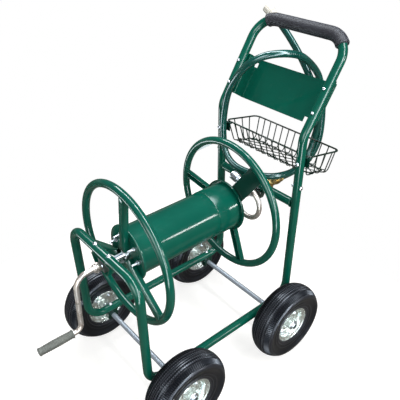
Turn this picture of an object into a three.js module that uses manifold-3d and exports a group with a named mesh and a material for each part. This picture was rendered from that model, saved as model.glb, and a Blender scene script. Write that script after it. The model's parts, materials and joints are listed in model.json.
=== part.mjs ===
// Garden hose reel cart: a bent-tube frame on four pneumatic wheels, a crank-driven hose drum
// between two tube rings, a push handle with a blank panel, a basket and a leader hose.
// Millimetres, +Z up. +X points to the push handle, +Y to the cart's left side.
import * as THREE from 'three';
import { mergeVertices } from 'three/addons/utils/BufferGeometryUtils.js';
import Module from 'manifold-3d';

const wasm = await Module();
wasm.setup();

// ---------------------------------------------------------------- driving dimensions

const gap = 0.3;                  // clearance between pieces that touch
const runningGap = 0.4;           // clearance in a bearing

// bolts
const nutDepth = 5;
const tipLength = 1.5;              // shank beyond the nut

// wheels
const wheelR = 127;               // 10 in wheel
const wheelHalfWidth = 42;
const wheelY = 227;
const frontAxleX = -175;
const rearAxleX = 232;
const axleR = 8;
const axleCollarR = 11;
const hubHalf = 34;
const hubR = 17;
const rimSeatR = 54;
const rimSeatHalf = 26;
const rimFlangeR = 62;
const rimFlangeHalf = 31;
const wheelSegments = 20;

// frame
const tubeR = 12.7;               // 1 in frame tube
const halfWidth = 160;            // tube centre lines either side of the middle
const axleDrop = 27;              // axles below the base tubes
const baseZ = wheelR + axleDrop;
const hoopX = -251;
const hoopZ = 514;
const uprightX = 299;
const frameBend = 55;
const shaftDrop = 34;             // reel shaft below the front hoop's top
const reelZ = hoopZ - shaftDrop;
const crossTubeZ = reelZ + 26;

// push handle
const seamZ = crossTubeZ + 15;    // where the handle slips over the lower uprights
const spigotR = 10.4;
const spigotLength = 60;
const kneeZ = seamZ + 198;
const gripX = 448;
const gripZ = kneeZ + 231;
const kneeBend = 60;
const gripBend = 65;
const foamR = 19;

// reel
const shaftR = 8;
const ringR = 198;
const ringTubeR = 11;
const frontRingX = -188;
const rearRingX = 179;
const drumR = 70;
const drumWall = 2;
const capR = 80;
const capThickness = 2.5;
const spokeWidth = 20;
const spokeDepth = 18;
const frontSpokeAngles = [99, 219, 339];
const rearSpokeAngles = [7, 250.5];
const outletPlateAngle = 127;
const outletPlateWidth = 52;
const outletPlateSheet = 3;

// crank
const crankRodR = 7;
const crankThrow = 175;
const crankEndX = -468;

// basket
const bracketSheet = 3;
const basketNearX = uprightX + tubeR + bracketSheet + 3 * gap + nutDepth + tipLength;
const basketRearX = 468;
const basketWall = 4;

// leader hose
const hoseR = 10;

// ---------------------------------------------------------------- materials

const paint = (color) => new THREE.MeshStandardMaterial({ color, roughness: 0.3, metalness: 0.15 });
const green = paint(0x1c6b58);
const darkGreen = paint(0x16503f);
const zinc = new THREE.MeshStandardMaterial({ color: 0xb9bec2, roughness: 0.35, metalness: 0.9 });
const chrome = new THREE.MeshStandardMaterial({ color: 0xd9dcdf, roughness: 0.12, metalness: 1 });
const brass = new THREE.MeshStandardMaterial({ color: 0xc39b52, roughness: 0.35, metalness: 0.9 });
const rubber = new THREE.MeshStandardMaterial({ color: 0x26272a, roughness: 0.8, metalness: 0 });
const foam = new THREE.MeshStandardMaterial({ color: 0x3a3b40, roughness: 0.95, metalness: 0 });
const gripPlastic = new THREE.MeshStandardMaterial({ color: 0x6b6d69, roughness: 0.6, metalness: 0 });
const hosePlastic = new THREE.MeshStandardMaterial({ color: 0x1f7a63, roughness: 0.4, metalness: 0 });
const nylon = new THREE.MeshStandardMaterial({ color: 0x2b2c2e, roughness: 0.6, metalness: 0 });

// ---------------------------------------------------------------- shape helpers

const V = (x, y, z) => new THREE.Vector3(x, y, z);
const X = V(1, 0, 0);
const Y = V(0, 1, 0);
const Z = V(0, 0, 1);

// Centre line through the corners, each inner corner rounded to the bend radius.
function roundedPath(corners, radii, steps = 4) {
  const points = [corners[0]];
  for (let i = 1; i < corners.length - 1; i++) {
    const radius = Array.isArray(radii) ? radii[i - 1] : radii;
    const into = corners[i].clone().sub(corners[i - 1]).normalize();
    const out = corners[i + 1].clone().sub(corners[i]).normalize();
    const turn = into.angleTo(out);
    const normal = out.clone().sub(into).normalize();
    const centre = corners[i].clone().addScaledVector(normal, radius / Math.cos(turn / 2));
    const start = corners[i].clone().addScaledVector(into, -radius * Math.tan(turn / 2)).sub(centre);
    const axis = into.clone().cross(out).normalize();
    for (let k = 0; k <= steps; k++) {
      points.push(start.clone().applyAxisAngle(axis, (turn * k) / steps).add(centre));
    }
  }
  points.push(corners[corners.length - 1]);
  return points;
}

// The stretch of a path between two distances measured along it.
function stretch(path, from, to) {
  const points = [];
  let run = 0;
  for (let i = 1; i < path.length; i++) {
    const length = path[i].distanceTo(path[i - 1]);
    for (const mark of [from, to]) {
      if (mark >= run && mark < run + length) {
        points.push(path[i - 1].clone().lerp(path[i], (mark - run) / length));
      }
    }
    run += length;
    if (run > from && run < to) points.push(path[i].clone());
  }
  return points;
}

// A round bar swept along a path of points; with a bore it is a sleeve.
function bar(path, radius, { sides = 10, bore = 0, loop = false } = {}) {
  const count = path.length;
  const tangent = (i) => {
    const before = path[loop ? (i + count - 1) % count : Math.max(i - 1, 0)];
    const after = path[loop ? (i + 1) % count : Math.min(i + 1, count - 1)];
    const a = path[i].clone().sub(before).normalize();
    const b = after.clone().sub(path[i]).normalize();
    return a.add(b).normalize();
  };
  const first = tangent(0);
  const side = Math.abs(first.z) < 0.9 ? Z.clone() : Y.clone();
  side.addScaledVector(first, -side.dot(first)).normalize();
  const vertices = [];
  const index = [];
  const radii = bore > 0 ? [radius, bore] : [radius];
  for (let i = 0; i < count; i++) {
    const t = tangent(i);
    side.addScaledVector(t, -side.dot(t)).normalize();
    const up = t.clone().cross(side);
    const before = path[loop ? (i + count - 1) % count : Math.max(i - 1, 0)];
    const into = path[i].clone().sub(before);
    const half = into.length() > 0 ? into.angleTo(t) : 0;
    const stretchBy = 1 / Math.cos(half);
    const bendDir = into.normalize().addScaledVector(t, -into.dot(t));
    const bent = bendDir.length() > 1e-6;
    if (bent) bendDir.normalize();
    for (const r of radii) {
      for (let k = 0; k < sides; k++) {
        const angle = (2 * Math.PI * k) / sides;
        const ring = side.clone().multiplyScalar(r * Math.cos(angle)).addScaledVector(up, r * Math.sin(angle));
        if (bent) ring.addScaledVector(bendDir, ring.dot(bendDir) * (stretchBy - 1));
        vertices.push(...ring.add(path[i]).toArray());
      }
    }
  }
  const perRing = sides * radii.length;
  const quad = (a, b, c, d) => index.push(a, b, c, a, c, d);
  for (let i = 0; i < (loop ? count : count - 1); i++) {
    const here = i * perRing;
    const next = ((i + 1) % count) * perRing;
    for (let k = 0; k < sides; k++) {
      const k1 = (k + 1) % sides;
      quad(here + k, here + k1, next + k1, next + k);
      if (bore > 0) {
        quad(here + sides + k1, here + sides + k, next + sides + k, next + sides + k1);
      }
    }
  }
  if (!loop) {
    const last = (count - 1) * perRing;
    for (let k = 0; k < sides; k++) {
      const k1 = (k + 1) % sides;
      if (bore > 0) {
        quad(k, sides + k, sides + k1, k1);
        quad(last + k1, last + sides + k1, last + sides + k, last + k);
      } else if (k > 0 && k < sides - 1) {
        index.push(0, k + 1, k);
        index.push(last, last + k, last + k + 1);
      }
    }
  }
  const geometry = new THREE.BufferGeometry();
  geometry.setAttribute('position', new THREE.Float32BufferAttribute(vertices, 3));
  geometry.setIndex(index);
  return geometry;
}

// Radius of a faceted hole whose flats clear a round piece of the given radius.
const boreFor = (radius, facets = 12) => (radius + gap) / Math.cos(Math.PI / facets);

// A body turned about an axis through the origin, from [radius, distance along the axis] pairs.
function turned(profile, axis, segments = 16) {
  const points = profile.map(([r, along]) => new THREE.Vector2(r, along));
  if (points[0].x > 0) points.push(points[0].clone());
  const geometry = new THREE.LatheGeometry(points, segments);
  if (axis === X) geometry.rotateZ(-Math.PI / 2);
  if (axis === Z) geometry.rotateX(Math.PI / 2);
  return geometry;
}

const block = (sx, sy, sz, at = V(0, 0, 0)) => new THREE.BoxGeometry(sx, sy, sz).translate(at.x, at.y, at.z);

function rod(radius, length, axis, at = V(0, 0, 0), segments = 12) {
  const geometry = new THREE.CylinderGeometry(radius, radius, length, segments);
  if (axis === X) geometry.rotateZ(-Math.PI / 2);
  if (axis === Z) geometry.rotateX(Math.PI / 2);
  return geometry.translate(at.x, at.y, at.z);
}

function extruded(outline, depth) {
  const shape = new THREE.Shape(outline.map(([x, y]) => new THREE.Vector2(x, y)));
  return new THREE.ExtrudeGeometry(shape, { depth, bevelEnabled: false });
}

function solid(geometry) {
  const plain = geometry.clone();
  plain.deleteAttribute('normal');
  plain.deleteAttribute('uv');
  const merged = mergeVertices(plain, 1e-4);
  return new wasm.Manifold(new wasm.Mesh({
    numProp: 3,
    vertProperties: new Float32Array(merged.attributes.position.array),
    triVerts: new Uint32Array(merged.index.array),
  }));
}

function shaped(body) {
  const mesh = body.getMesh();
  const geometry = new THREE.BufferGeometry();
  geometry.setAttribute('position', new THREE.Float32BufferAttribute(mesh.vertProperties, 3));
  geometry.setIndex(Array.from(mesh.triVerts));
  return geometry;
}

const cut = (geometry, ...tools) => shaped(tools.reduce((body, tool) => body.subtract(solid(tool)), solid(geometry)));
const joined = (...pieces) => shaped(pieces.map(solid).reduce((a, b) => a.add(b)));

// ---------------------------------------------------------------- assembly helpers

const group = new THREE.Group();
group.name = 'hose_reel_cart';

function place(name, geometry, material, parent = group, at = V(0, 0, 0)) {
  geometry.deleteAttribute('uv');
  const mesh = new THREE.Mesh(geometry, material);
  mesh.name = name;
  mesh.position.copy(at);
  parent.add(mesh);
  return mesh;
}

// A hexagon bolt along -Z: the head sits on z = 0 and the nut on z = -grip.
function bolt(shank, headR, grip) {
  const tip = -grip - nutDepth - tipLength;
  return joined(
    rod(headR, 4.5, Z, V(0, 0, 2.25), 6),
    rod(shank, 1 - tip, Z, V(0, 0, (tip + 1) / 2), 6),
    rod(headR, nutDepth, Z, V(0, 0, -grip - nutDepth / 2), 6),
  );
}

const sidesOfCart = [['left', 1], ['right', -1]];
const polar = (radius, degrees) => {
  const a = THREE.MathUtils.degToRad(degrees);
  return V(0, radius * Math.cos(a), radius * Math.sin(a));
};

// ---------------------------------------------------------------- frame

const boltHoleR = 4.4;
const boltR = 4;
const strapBoltY = 33;
const hangerSheet = 2.5;
const hangerDepth = 20;
const handleBoltZ = seamZ + 44;
const basketBoltZ = seamZ + 120;

const framePath = roundedPath([
  V(uprightX, halfWidth, seamZ - gap), V(uprightX, halfWidth, baseZ),
  V(hoopX, halfWidth, baseZ), V(hoopX, halfWidth, hoopZ),
  V(hoopX, -halfWidth, hoopZ), V(hoopX, -halfWidth, baseZ),
  V(uprightX, -halfWidth, baseZ), V(uprightX, -halfWidth, seamZ - gap),
], frameBend);

const frameHoles = [];
for (const [, side] of sidesOfCart) {
  frameHoles.push(rod(boltHoleR, 40, Z, V(hoopX, side * strapBoltY, hoopZ)));
  frameHoles.push(rod(boltHoleR, 40, Z, V(frontAxleX, side * halfWidth, baseZ)));
  frameHoles.push(rod(boltHoleR, 40, Z, V(rearAxleX, side * halfWidth, baseZ)));
  frameHoles.push(rod(boltHoleR, 40, Y, V(uprightX, side * halfWidth, handleBoltZ)));
}
const spigots = sidesOfCart.map(([, side]) => (
  rod(spigotR, spigotLength + 20, Z, V(uprightX, side * halfWidth, seamZ + spigotLength / 2 - 10))
));
place('frame_tube', cut(joined(bar(framePath, tubeR), ...spigots), ...frameHoles), green);

place('rear_cross_tube', bar([
  V(uprightX, halfWidth - tubeR - gap, crossTubeZ), V(uprightX, -halfWidth + tubeR + gap, crossTubeZ),
], tubeR), green);

// A sheet-metal hanger under a tube, with a bearing block that the reel shaft turns in.
function bearing(x, tubeZ, topHalf, bottomHalf) {
  const depth = hangerDepth;
  const sheet = hangerSheet;
  const top = tubeZ - tubeR - gap;
  const bottom = reelZ - 20;
  const outer = [[-topHalf, top], [topHalf, top], [bottomHalf, bottom], [-bottomHalf, bottom]];
  const slope = (topHalf - bottomHalf) / (top - bottom);
  const innerTop = top - sheet;
  const innerBottom = bottom + sheet;
  const halfAt = (z) => bottomHalf + (z - bottom) * slope - sheet * 1.12;
  const inner = [
    [-halfAt(innerTop), innerTop], [halfAt(innerTop), innerTop],
    [halfAt(innerBottom), innerBottom], [-halfAt(innerBottom), innerBottom],
  ];
  const stand = (geometry, from) => geometry.applyMatrix4(
    new THREE.Matrix4().makeBasis(Y, Z, X).setPosition(from, 0, 0),
  );
  const hanger = cut(stand(extruded(outer, depth), x - depth / 2), stand(extruded(inner, depth + 2), x - depth / 2 - 1));
  const blockTop = innerTop - gap;
  const blockBottom = innerBottom + gap;
  const blockHalf = 13;
  const bush = cut(
    block(depth - 2, 2 * blockHalf, blockTop - blockBottom, V(x, 0, (blockTop + blockBottom) / 2)),
    rod(shaftR + runningGap, depth + 4, X, V(x, 0, reelZ), 16),
  );
  return { hanger, bush };
}

const frontBearing = bearing(hoopX, hoopZ, strapBoltY + 14, 26);
const frontHangerHoles = sidesOfCart.map(([, side]) => rod(boltHoleR, 12, Z, V(hoopX, side * strapBoltY, hoopZ - tubeR)));
place('front_bearing_hanger', cut(frontBearing.hanger, ...frontHangerHoles), darkGreen);
place('front_bearing_block', frontBearing.bush, nylon);
const rearBearing = bearing(uprightX, crossTubeZ, 34, 24);
place('rear_bearing_hanger', rearBearing.hanger, darkGreen);
place('rear_bearing_block', rearBearing.bush, nylon);

for (const [side, sign] of sidesOfCart) {
  place(`hanger_bolt_${side}`, bolt(boltR, 6.5, 2 * tubeR + 3 * gap + hangerSheet), zinc, group,
    V(hoopX, sign * strapBoltY, hoopZ + tubeR + gap));
}

// ---------------------------------------------------------------- push handle

const handlePath = roundedPath([
  V(uprightX, halfWidth, seamZ), V(uprightX, halfWidth, kneeZ),
  V(gripX, halfWidth, gripZ), V(gripX, -halfWidth, gripZ),
  V(uprightX, -halfWidth, kneeZ), V(uprightX, -halfWidth, seamZ),
], [kneeBend, gripBend, gripBend, kneeBend], 5);

const slant = V(gripX - uprightX, 0, gripZ - kneeZ).normalize();     // along the slanted tubes
const behind = V(slant.z, 0, -slant.x);                              // square to them, rearward
const onSlant = (along, back, y) => V(uprightX, y, kneeZ).addScaledVector(slant, along).addScaledVector(behind, back);

const squareToSlant = new THREE.Quaternion().setFromUnitVectors(Z, behind.clone().negate());

const panelBolts = [65, 133];
const panelHoleR = 3.4;
const handleHoles = [];
for (const [, side] of sidesOfCart) {
  handleHoles.push(rod(boreFor(spigotR), spigotLength + 4, Z, V(uprightX, side * halfWidth, seamZ + spigotLength / 2)));
  handleHoles.push(rod(boltHoleR, 40, Y, V(uprightX, side * halfWidth, handleBoltZ)));
  handleHoles.push(rod(boltHoleR, 40, X, V(uprightX, side * halfWidth, basketBoltZ)));
  for (const along of panelBolts) {
    const hole = rod(panelHoleR, 40, Z).applyQuaternion(squareToSlant);
    handleHoles.push(hole.translate(...onSlant(along, 0, side * halfWidth)));
  }
}
place('handle_tube', cut(bar(handlePath, tubeR), ...handleHoles), green);

const handleLength = handlePath.reduce((sum, p, i) => sum + (i ? p.distanceTo(handlePath[i - 1]) : 0), 0);
const foamFrom = handleLength / 2 - 130;
const foamTo = handleLength / 2 + 152;
place('foam_grip', bar(stretch(handlePath, foamFrom, foamTo), foamR, { bore: boreFor(tubeR, 10) }), foam);

for (const [side, sign] of sidesOfCart) {
  const across = bolt(boltR, 6.5, 2 * (tubeR + gap));
  across.rotateX(sign > 0 ? -Math.PI / 2 : Math.PI / 2);
  place(`handle_bolt_${side}`, across, zinc, group, V(uprightX, sign * (halfWidth + tubeR + gap), handleBoltZ));
}

// ---------------------------------------------------------------- blank panel

// A shallow pan between the handle tubes; its side flanges end in tabs bolted behind the tubes.
const panelHalf = halfWidth - tubeR - gap;
const panelSheet = 1.6;
const panelBack = 55;
const panelFrom = 41;
const panelHeight = 124;
const tabHalf = halfWidth + 9;
const tabBack = tubeR + gap;
const panelOutline = [
  [tabHalf, tabBack], [tabHalf, tabBack + panelSheet], [panelHalf, tabBack + panelSheet],
  [panelHalf, panelBack + panelSheet], [-panelHalf, panelBack + panelSheet],
  [-panelHalf, tabBack + panelSheet], [-tabHalf, tabBack + panelSheet], [-tabHalf, tabBack],
  [-panelHalf + panelSheet, tabBack], [-panelHalf + panelSheet, panelBack],
  [panelHalf - panelSheet, panelBack], [panelHalf - panelSheet, tabBack],
];
const panelBasis = new THREE.Matrix4().makeBasis(V(0, -1, 0), behind, slant);
panelBasis.setPosition(onSlant(panelFrom, 0, 0));
const panelTools = [];
for (const side of [1, -1]) {
  for (const along of panelBolts) {
    panelTools.push(rod(panelHoleR, 12, Y, V(side * halfWidth, tabBack, along - panelFrom)));
  }
  for (const along of [11, panelHeight - 21]) {
    panelTools.push(block(12, 7, 20, V(side * (panelHalf - 2), panelBack, along)));
  }
}
place('sign_panel', cut(extruded(panelOutline, panelHeight), ...panelTools).applyMatrix4(panelBasis), green);

for (const [side, sign] of sidesOfCart) {
  panelBolts.forEach((along, i) => {
    const screw = bolt(3, 5.5, 2 * tubeR + 3 * gap + panelSheet).applyQuaternion(squareToSlant);
    place(`panel_bolt_${side}_${i + 1}`, screw, zinc, group, onSlant(along, -tubeR - gap, sign * halfWidth));
  });
}

// ---------------------------------------------------------------- basket

// Open tray: near and rear walls lean in towards the floor, and the rim drops a little rearward.
const rimHalf = halfWidth + 12;
const nearRimZ = basketBoltZ + 13;
const rearRimZ = nearRimZ - 27;
const floorLean = 20;
const floorInset = 12;
const basketDepth = 76;
const basketRim = [
  V(basketNearX, rimHalf, nearRimZ), V(basketRearX, rimHalf, rearRimZ),
  V(basketRearX, -rimHalf, rearRimZ), V(basketNearX, -rimHalf, nearRimZ),
];
const basketFloor = basketRim.map((p) => V(
  p.x + (p.x === basketNearX ? floorLean : -floorLean), p.y - Math.sign(p.y) * floorInset, p.z - basketDepth,
));

function frustum(top, bottom) {
  const vertices = [...top, ...bottom].flatMap((p) => p.toArray());
  const index = [0, 2, 1, 0, 3, 2, 4, 5, 6, 4, 6, 7];
  for (let i = 0; i < 4; i++) {
    const j = (i + 1) % 4;
    index.push(i, j, j + 4, i, j + 4, i + 4);
  }
  const geometry = new THREE.BufferGeometry();
  geometry.setAttribute('position', new THREE.Float32BufferAttribute(vertices, 3));
  geometry.setIndex(index);
  return geometry;
}

const inset = (corners, lift) => corners.map((p) => {
  const middleX = (basketNearX + basketRearX) / 2;
  return V(p.x + Math.sign(middleX - p.x) * basketWall, p.y - Math.sign(p.y) * basketWall, p.z + lift);
});
const basketHollow = frustum(inset(basketRim, 1), inset(basketFloor, basketWall));
place('basket', cut(frustum(basketRim, basketFloor), basketHollow), darkGreen);

const bracketX = uprightX + tubeR + gap;
const bracketHeight = 26;
const ledgeDepth = basketNearX - bracketX;
for (const [side, sign] of sidesOfCart) {
  const plate = block(bracketSheet, 40, bracketHeight, V(bracketX + bracketSheet / 2, sign * halfWidth, basketBoltZ));
  const ledge = block(ledgeDepth, 40, bracketSheet,
    V(bracketX + ledgeDepth / 2, sign * halfWidth, basketBoltZ + (bracketHeight - bracketSheet) / 2 - 1));
  const hole = rod(boltHoleR, 20, X, V(bracketX, sign * halfWidth, basketBoltZ));
  place(`basket_bracket_${side}`, cut(joined(plate, ledge), hole), darkGreen);
  const through = bolt(boltR, 6.5, 2 * tubeR + 3 * gap + bracketSheet);
  through.rotateY(-Math.PI / 2);
  place(`basket_bolt_${side}`, through, zinc, group, V(uprightX - tubeR - gap, sign * halfWidth, basketBoltZ));
}

// ---------------------------------------------------------------- axles and wheels

const bracketHalf = 11.5;
const axles = [['front', frontAxleX], ['rear', rearAxleX]];
for (const [end, x] of axles) {
  const half = [
    [axleR, 0], [axleR, halfWidth + bracketHalf + 1], [axleCollarR, halfWidth + bracketHalf + 1],
    [axleCollarR, wheelY - hubHalf - gap], [axleR, wheelY - hubHalf - gap], [axleR, wheelY + hubHalf + 5],
    [0, wheelY + hubHalf + 5],
  ];
  const otherHalf = half.slice(1).reverse().map(([r, y]) => [r, -y]);
  place(`${end}_axle`, turned([...otherHalf, ...half.slice(1)], Y, 12), zinc, group, V(x, 0, wheelR));

  for (const [side, sign] of sidesOfCart) {
    const saddle = cut(
      block(34, 2 * bracketHalf, 34, V(0, 0, 4)),
      rod(boreFor(tubeR), 60, X, V(0, 0, baseZ - wheelR)),
      rod(boreFor(axleR), 60, Y),
    );
    const tubeTop = baseZ - wheelR + tubeR + gap;
    const bracket = joined(
      saddle, rod(boltR, tubeTop - 12, Z, V(0, 0, tubeTop / 2 + 8), 8), rod(6.5, 4.5, Z, V(0, 0, tubeTop + 2.25), 6),
    );
    place(`${end}_axle_bracket_${side}`, bracket, darkGreen, group, V(x, sign * halfWidth, wheelR));

    const wheel = new THREE.Group();
    wheel.name = `${end}_wheel_${side}`;
    wheel.position.set(x, sign * wheelY, wheelR);
    group.add(wheel);

    const rimSide = [
      [axleR + runningGap, hubHalf], [hubR, hubHalf], [hubR, 9], [rimSeatR - 7, 9],
      [rimSeatR - 2, rimFlangeHalf - 3], [rimFlangeR, rimFlangeHalf],
    ];
    const rimProfile = [
      ...rimSide.map(([r, y]) => [r, -y]), [rimSeatR, -rimSeatHalf], [rimSeatR, rimSeatHalf],
      ...rimSide.slice().reverse(),
    ];
    place(`${end}_rim_${side}`, turned(rimProfile, Y, wheelSegments), zinc, wheel);

    const beadR = rimSeatR + 0.4;
    const tyreSide = [
      [beadR, rimSeatHalf - 1], [rimFlangeR + 2.5, rimFlangeHalf + 1.5], [rimFlangeR + 16, wheelHalfWidth - 2],
      [rimFlangeR + 32, wheelHalfWidth], [wheelR - 16, wheelHalfWidth - 4], [wheelR - 5, wheelHalfWidth - 16],
    ];
    const tyreInside = [[wheelR - 17, wheelHalfWidth - 14], [rimFlangeR + 14, rimFlangeHalf + 1], [beadR, 18]];
    const tyreProfile = [
      ...tyreSide.map(([r, y]) => [r, -y]), [wheelR, -9], [wheelR, 9], ...tyreSide.slice().reverse(),
      ...tyreInside.slice().reverse(), ...tyreInside.map(([r, y]) => [r, -y]),
    ];
    place(`${end}_tyre_${side}`, turned(tyreProfile, Y, wheelSegments), rubber, wheel);

    const capBack = wheelY + hubHalf + gap;
    const capProfile = [[axleR + 0.2, 0], [12, 0], [12, 3], [10, 7.2], [0, 7.2], [0, 5.2], [axleR + 0.2, 5.2]];
    const hubCap = turned(capProfile.slice(4).concat(capProfile.slice(0, 4), [[0, 7.2]]).slice(1), Y, 12);
    if (sign < 0) hubCap.rotateX(Math.PI);
    place(`${end}_axle_cap_${side}`, hubCap, zinc, group, V(x, sign * capBack, wheelR));
  }
}

// ---------------------------------------------------------------- reel

const reel = new THREE.Group();
reel.name = 'reel';
reel.position.set(0, 0, reelZ);
group.add(reel);

const socketHalf = 10;
const crankPinX = hoopX - hangerDepth / 2 - 1.5 - socketHalf;
const shaftFront = crankPinX - socketHalf + 4 + gap;
const shaftRear = 345;
place('reel_shaft', cut(
  rod(shaftR, shaftRear - shaftFront, X, V((shaftRear + shaftFront) / 2, 0, 0), 16),
  rod(3.3, 30, Z, V(crankPinX, 0, 0), 8),
), zinc, reel);

function ringBar(x, radius) {
  const path = Array.from({ length: 36 }, (_, i) => polar(ringR, i * 10).setX(x));
  return bar(path, radius, { sides: 8, loop: true });
}
place('front_ring', ringBar(frontRingX, ringTubeR), green, reel);

// The rear ring has a small web welded across one stretch of it.
const webFrom = 35;
const webTo = 73.5;
const webOutline = Array.from({ length: 8 }, (_, i) => polar(ringR - 6, webFrom + ((webTo - webFrom) * i) / 7));
const web = extruded(webOutline.map((p) => [p.y, p.z]), 2).applyMatrix4(
  new THREE.Matrix4().makeBasis(Y, Z, X).setPosition(rearRingX - 1, 0, 0),
);
place('rear_ring', joined(ringBar(rearRingX, ringTubeR), web), green, reel);

// Each spoke is coped to the ring tube at its outer end.
const spokeInner = 21;
function spoke(width, depth, x, degrees, ringX) {
  const spokeOuter = ringR - 0.6 * ringTubeR;
  const geometry = block(depth, spokeOuter - spokeInner, width, V(0, (spokeOuter + spokeInner) / 2, 0));
  geometry.rotateX(THREE.MathUtils.degToRad(degrees));
  return cut(geometry.translate(x, 0, 0), ringBar(ringX, ringTubeR + gap));
}
const frontCapX = frontRingX + spokeDepth / 2 + gap - 3;
const rearCapX = rearRingX - spokeDepth / 2 - gap + 3;
const frontSpokeX = frontCapX - gap - spokeDepth / 2;
const rearSpokeX = rearCapX + gap + spokeDepth / 2;
frontSpokeAngles.forEach((angle, i) => {
  place(`front_spoke_${i + 1}`, spoke(spokeWidth, spokeDepth, frontSpokeX, angle, frontRingX), green, reel);
});
rearSpokeAngles.forEach((angle, i) => {
  place(`rear_spoke_${i + 1}`, spoke(spokeWidth, spokeDepth, rearSpokeX, angle, rearRingX), green, reel);
});
place('outlet_plate', spoke(
  outletPlateWidth, outletPlateSheet, rearCapX + gap + outletPlateSheet / 2, outletPlateAngle, rearRingX,
), darkGreen, reel);

const capProfile = (direction) => {
  const flat = [[shaftR + gap, 0], [capR, 0], [capR, -7], [capR - 2.5, -7], [capR - 2.5, -capThickness],
    [shaftR + gap, -capThickness]];
  return direction > 0 ? flat.reverse() : flat.map(([r, a]) => [r, -a]);
};
place('front_drum_cap', turned(capProfile(-1), X, 24), green, reel, V(frontCapX, 0, 0));
place('rear_drum_cap', turned(capProfile(1), X, 24), green, reel, V(rearCapX, 0, 0));
const drumFrom = frontCapX + capThickness + gap;
const drumTo = rearCapX - capThickness - gap;
place('hose_drum', turned([
  [drumR, drumFrom], [drumR, drumTo], [drumR - drumWall, drumTo], [drumR - drumWall, drumFrom],
], X, 24), green, reel);

// Gooseneck: leaves the hollow shaft square to it and hooks round to a hose coupling.
const neckX = 204;
const neckR = 7.5;
const neckBend = 48;
const neckStraight = 58;
const neckTurn = 192;
const neckAngle = 206.6;
const neckStart = shaftR + gap;
const neckRise = 42;
const neckCentre = polar(neckRise, neckAngle).add(polar(neckBend, neckAngle - 90));
const neckPath = [polar(neckStart, neckAngle), polar(30, neckAngle)];
for (let i = 0; i <= 12; i++) {
  neckPath.push(polar(neckBend, neckAngle + 90 - (neckTurn * i) / 12).add(neckCentre));
}
const neckHeading = polar(1, neckAngle - neckTurn);
const neckEnd = neckPath[neckPath.length - 1].clone().addScaledVector(neckHeading, neckStraight);
neckPath.push(neckEnd);
neckPath.forEach((p) => p.setX(neckX));
place('gooseneck', bar(neckPath, neckR, { sides: 10 }), chrome, reel);

const couplingBasis = new THREE.Matrix4().makeRotationAxis(X, THREE.MathUtils.degToRad(neckAngle - neckTurn));
const couplingProfile = [
  [neckR + gap, -12], [10.5, -12], [10.5, 13], [14, 14], [14, 36], [10.8, 36], [10.8, 18], [neckR + gap, 18],
];
const coupling = turned(couplingProfile, Y, 12).applyMatrix4(couplingBasis);
place('outlet_coupling', coupling, zinc, reel, neckEnd.clone().addScaledVector(neckHeading, -14));

// ---------------------------------------------------------------- crank

const crankCorners = [
  V(crankPinX - socketHalf + 1, 0, 0), V(-335, 0, 0), V(-345, 0, -crankThrow), V(crankEndX + 6, 0, -crankThrow),
];
const socket = turned([
  [0, -socketHalf], [11.5, -socketHalf], [11.5, socketHalf], [shaftR + gap, socketHalf],
  [shaftR + gap, 4 - socketHalf], [0, 4 - socketHalf],
], X, 16).translate(crankPinX, 0, 0);
const crankBar = bar(roundedPath(crankCorners, [38, 20], 5), crankRodR, { sides: 10 });
const crankBolt = bolt(3, 5.5, 21).translate(crankPinX, 0, 10.5);
place('crank_arm', joined(crankBar, socket, crankBolt), chrome, reel);

const crankGripStart = -370;
place('crank_grip', turned([
  [crankRodR + runningGap, crankGripStart], [11, crankGripStart], [11.5, crankGripStart - 4],
  [11.5, crankEndX + 2], [9.5, crankEndX], [0, crankEndX], [0, crankEndX + 3], [crankRodR + runningGap, crankEndX + 3],
].reverse(), X, 16), gripPlastic, reel, V(0, 0, -crankThrow));

// ---------------------------------------------------------------- water inlet and leader hose

const swivelEnd = 388;
place('inlet_swivel', turned([
  [shaftR + runningGap, 322], [13, 322], [13, 331], [18, 333], [18, 366], [12.5, 370], [12.5, swivelEnd],
  [0, swivelEnd], [0, shaftRear + runningGap], [shaftR + runningGap, shaftRear + runningGap],
], X, 12), brass, group, V(0, 0, reelZ));

// A hose end fitting: a ferrule crimped on the hose and a swivel nut beyond it.
const fitting = (nutLength) => turned([
  [boreFor(hoseR), -14], [12.5, -14], [12.5, -2], [14.5, 0], [14.5, nutLength], [0, nutLength], [0, gap],
  [boreFor(hoseR), gap],
], X, 12);

const hoseStart = swivelEnd + gap + 14;
const hoseNut = fitting(hoseStart - gap - swivelEnd - gap);
hoseNut.rotateY(Math.PI);
place('hose_nut', hoseNut, zinc, group, V(hoseStart, 0, reelZ));

// Route of the leader hose: out of the swivel, up behind the basket, over the panel, down the left
// upright, across the cross tube, under the basket, up behind it and the panel, and past the grip.
const hoseRoute = [
  [hoseStart, 0, reelZ], [430, 0, 480], [458, -5, 484], [485, -17, 499], [504, -32, 526],
  [518, -53, 600], [511, -53, 730], [493, -47, 798], [472, -46, 830], [402, -47, 885], [366, -41, 899],
  [331, -24, 903], [304, 1, 897], [287, 27, 881], [280, 55, 856], [279, 110, 780], [279, 132, 685],
  [280, 132, 616], [281, 126, 581], [284, 109, 553], [289, 83, 536], [297, 51, 529.5], [304, 22, 529.5],
  [315, -8, 529.5], [338, -33, 529.5], [368, -46, 529], [412, -49, 527], [444, -49, 533],
  [470, -49, 550], [487, -49, 576], [493, -51, 607], [489, -62, 656], [480, -70, 698], [472, -68, 734],
  [464, -59, 770], [459, -42, 804], [469, 14, 858], [476, 74, 906], [476, 126, 945], [473, 145, 959],
].map((p) => V(...p));
place('leader_hose', bar(hoseRoute, hoseR, { sides: 8 }), hosePlastic);

const [beforeEnd, hoseEnd] = hoseRoute.slice(-2);
const hoseHeading = hoseEnd.clone().sub(beforeEnd).normalize();
const tapConnector = place('tap_connector', fitting(22), brass, group, hoseEnd);
tapConnector.quaternion.setFromUnitVectors(X, hoseHeading);

export default group;
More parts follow.
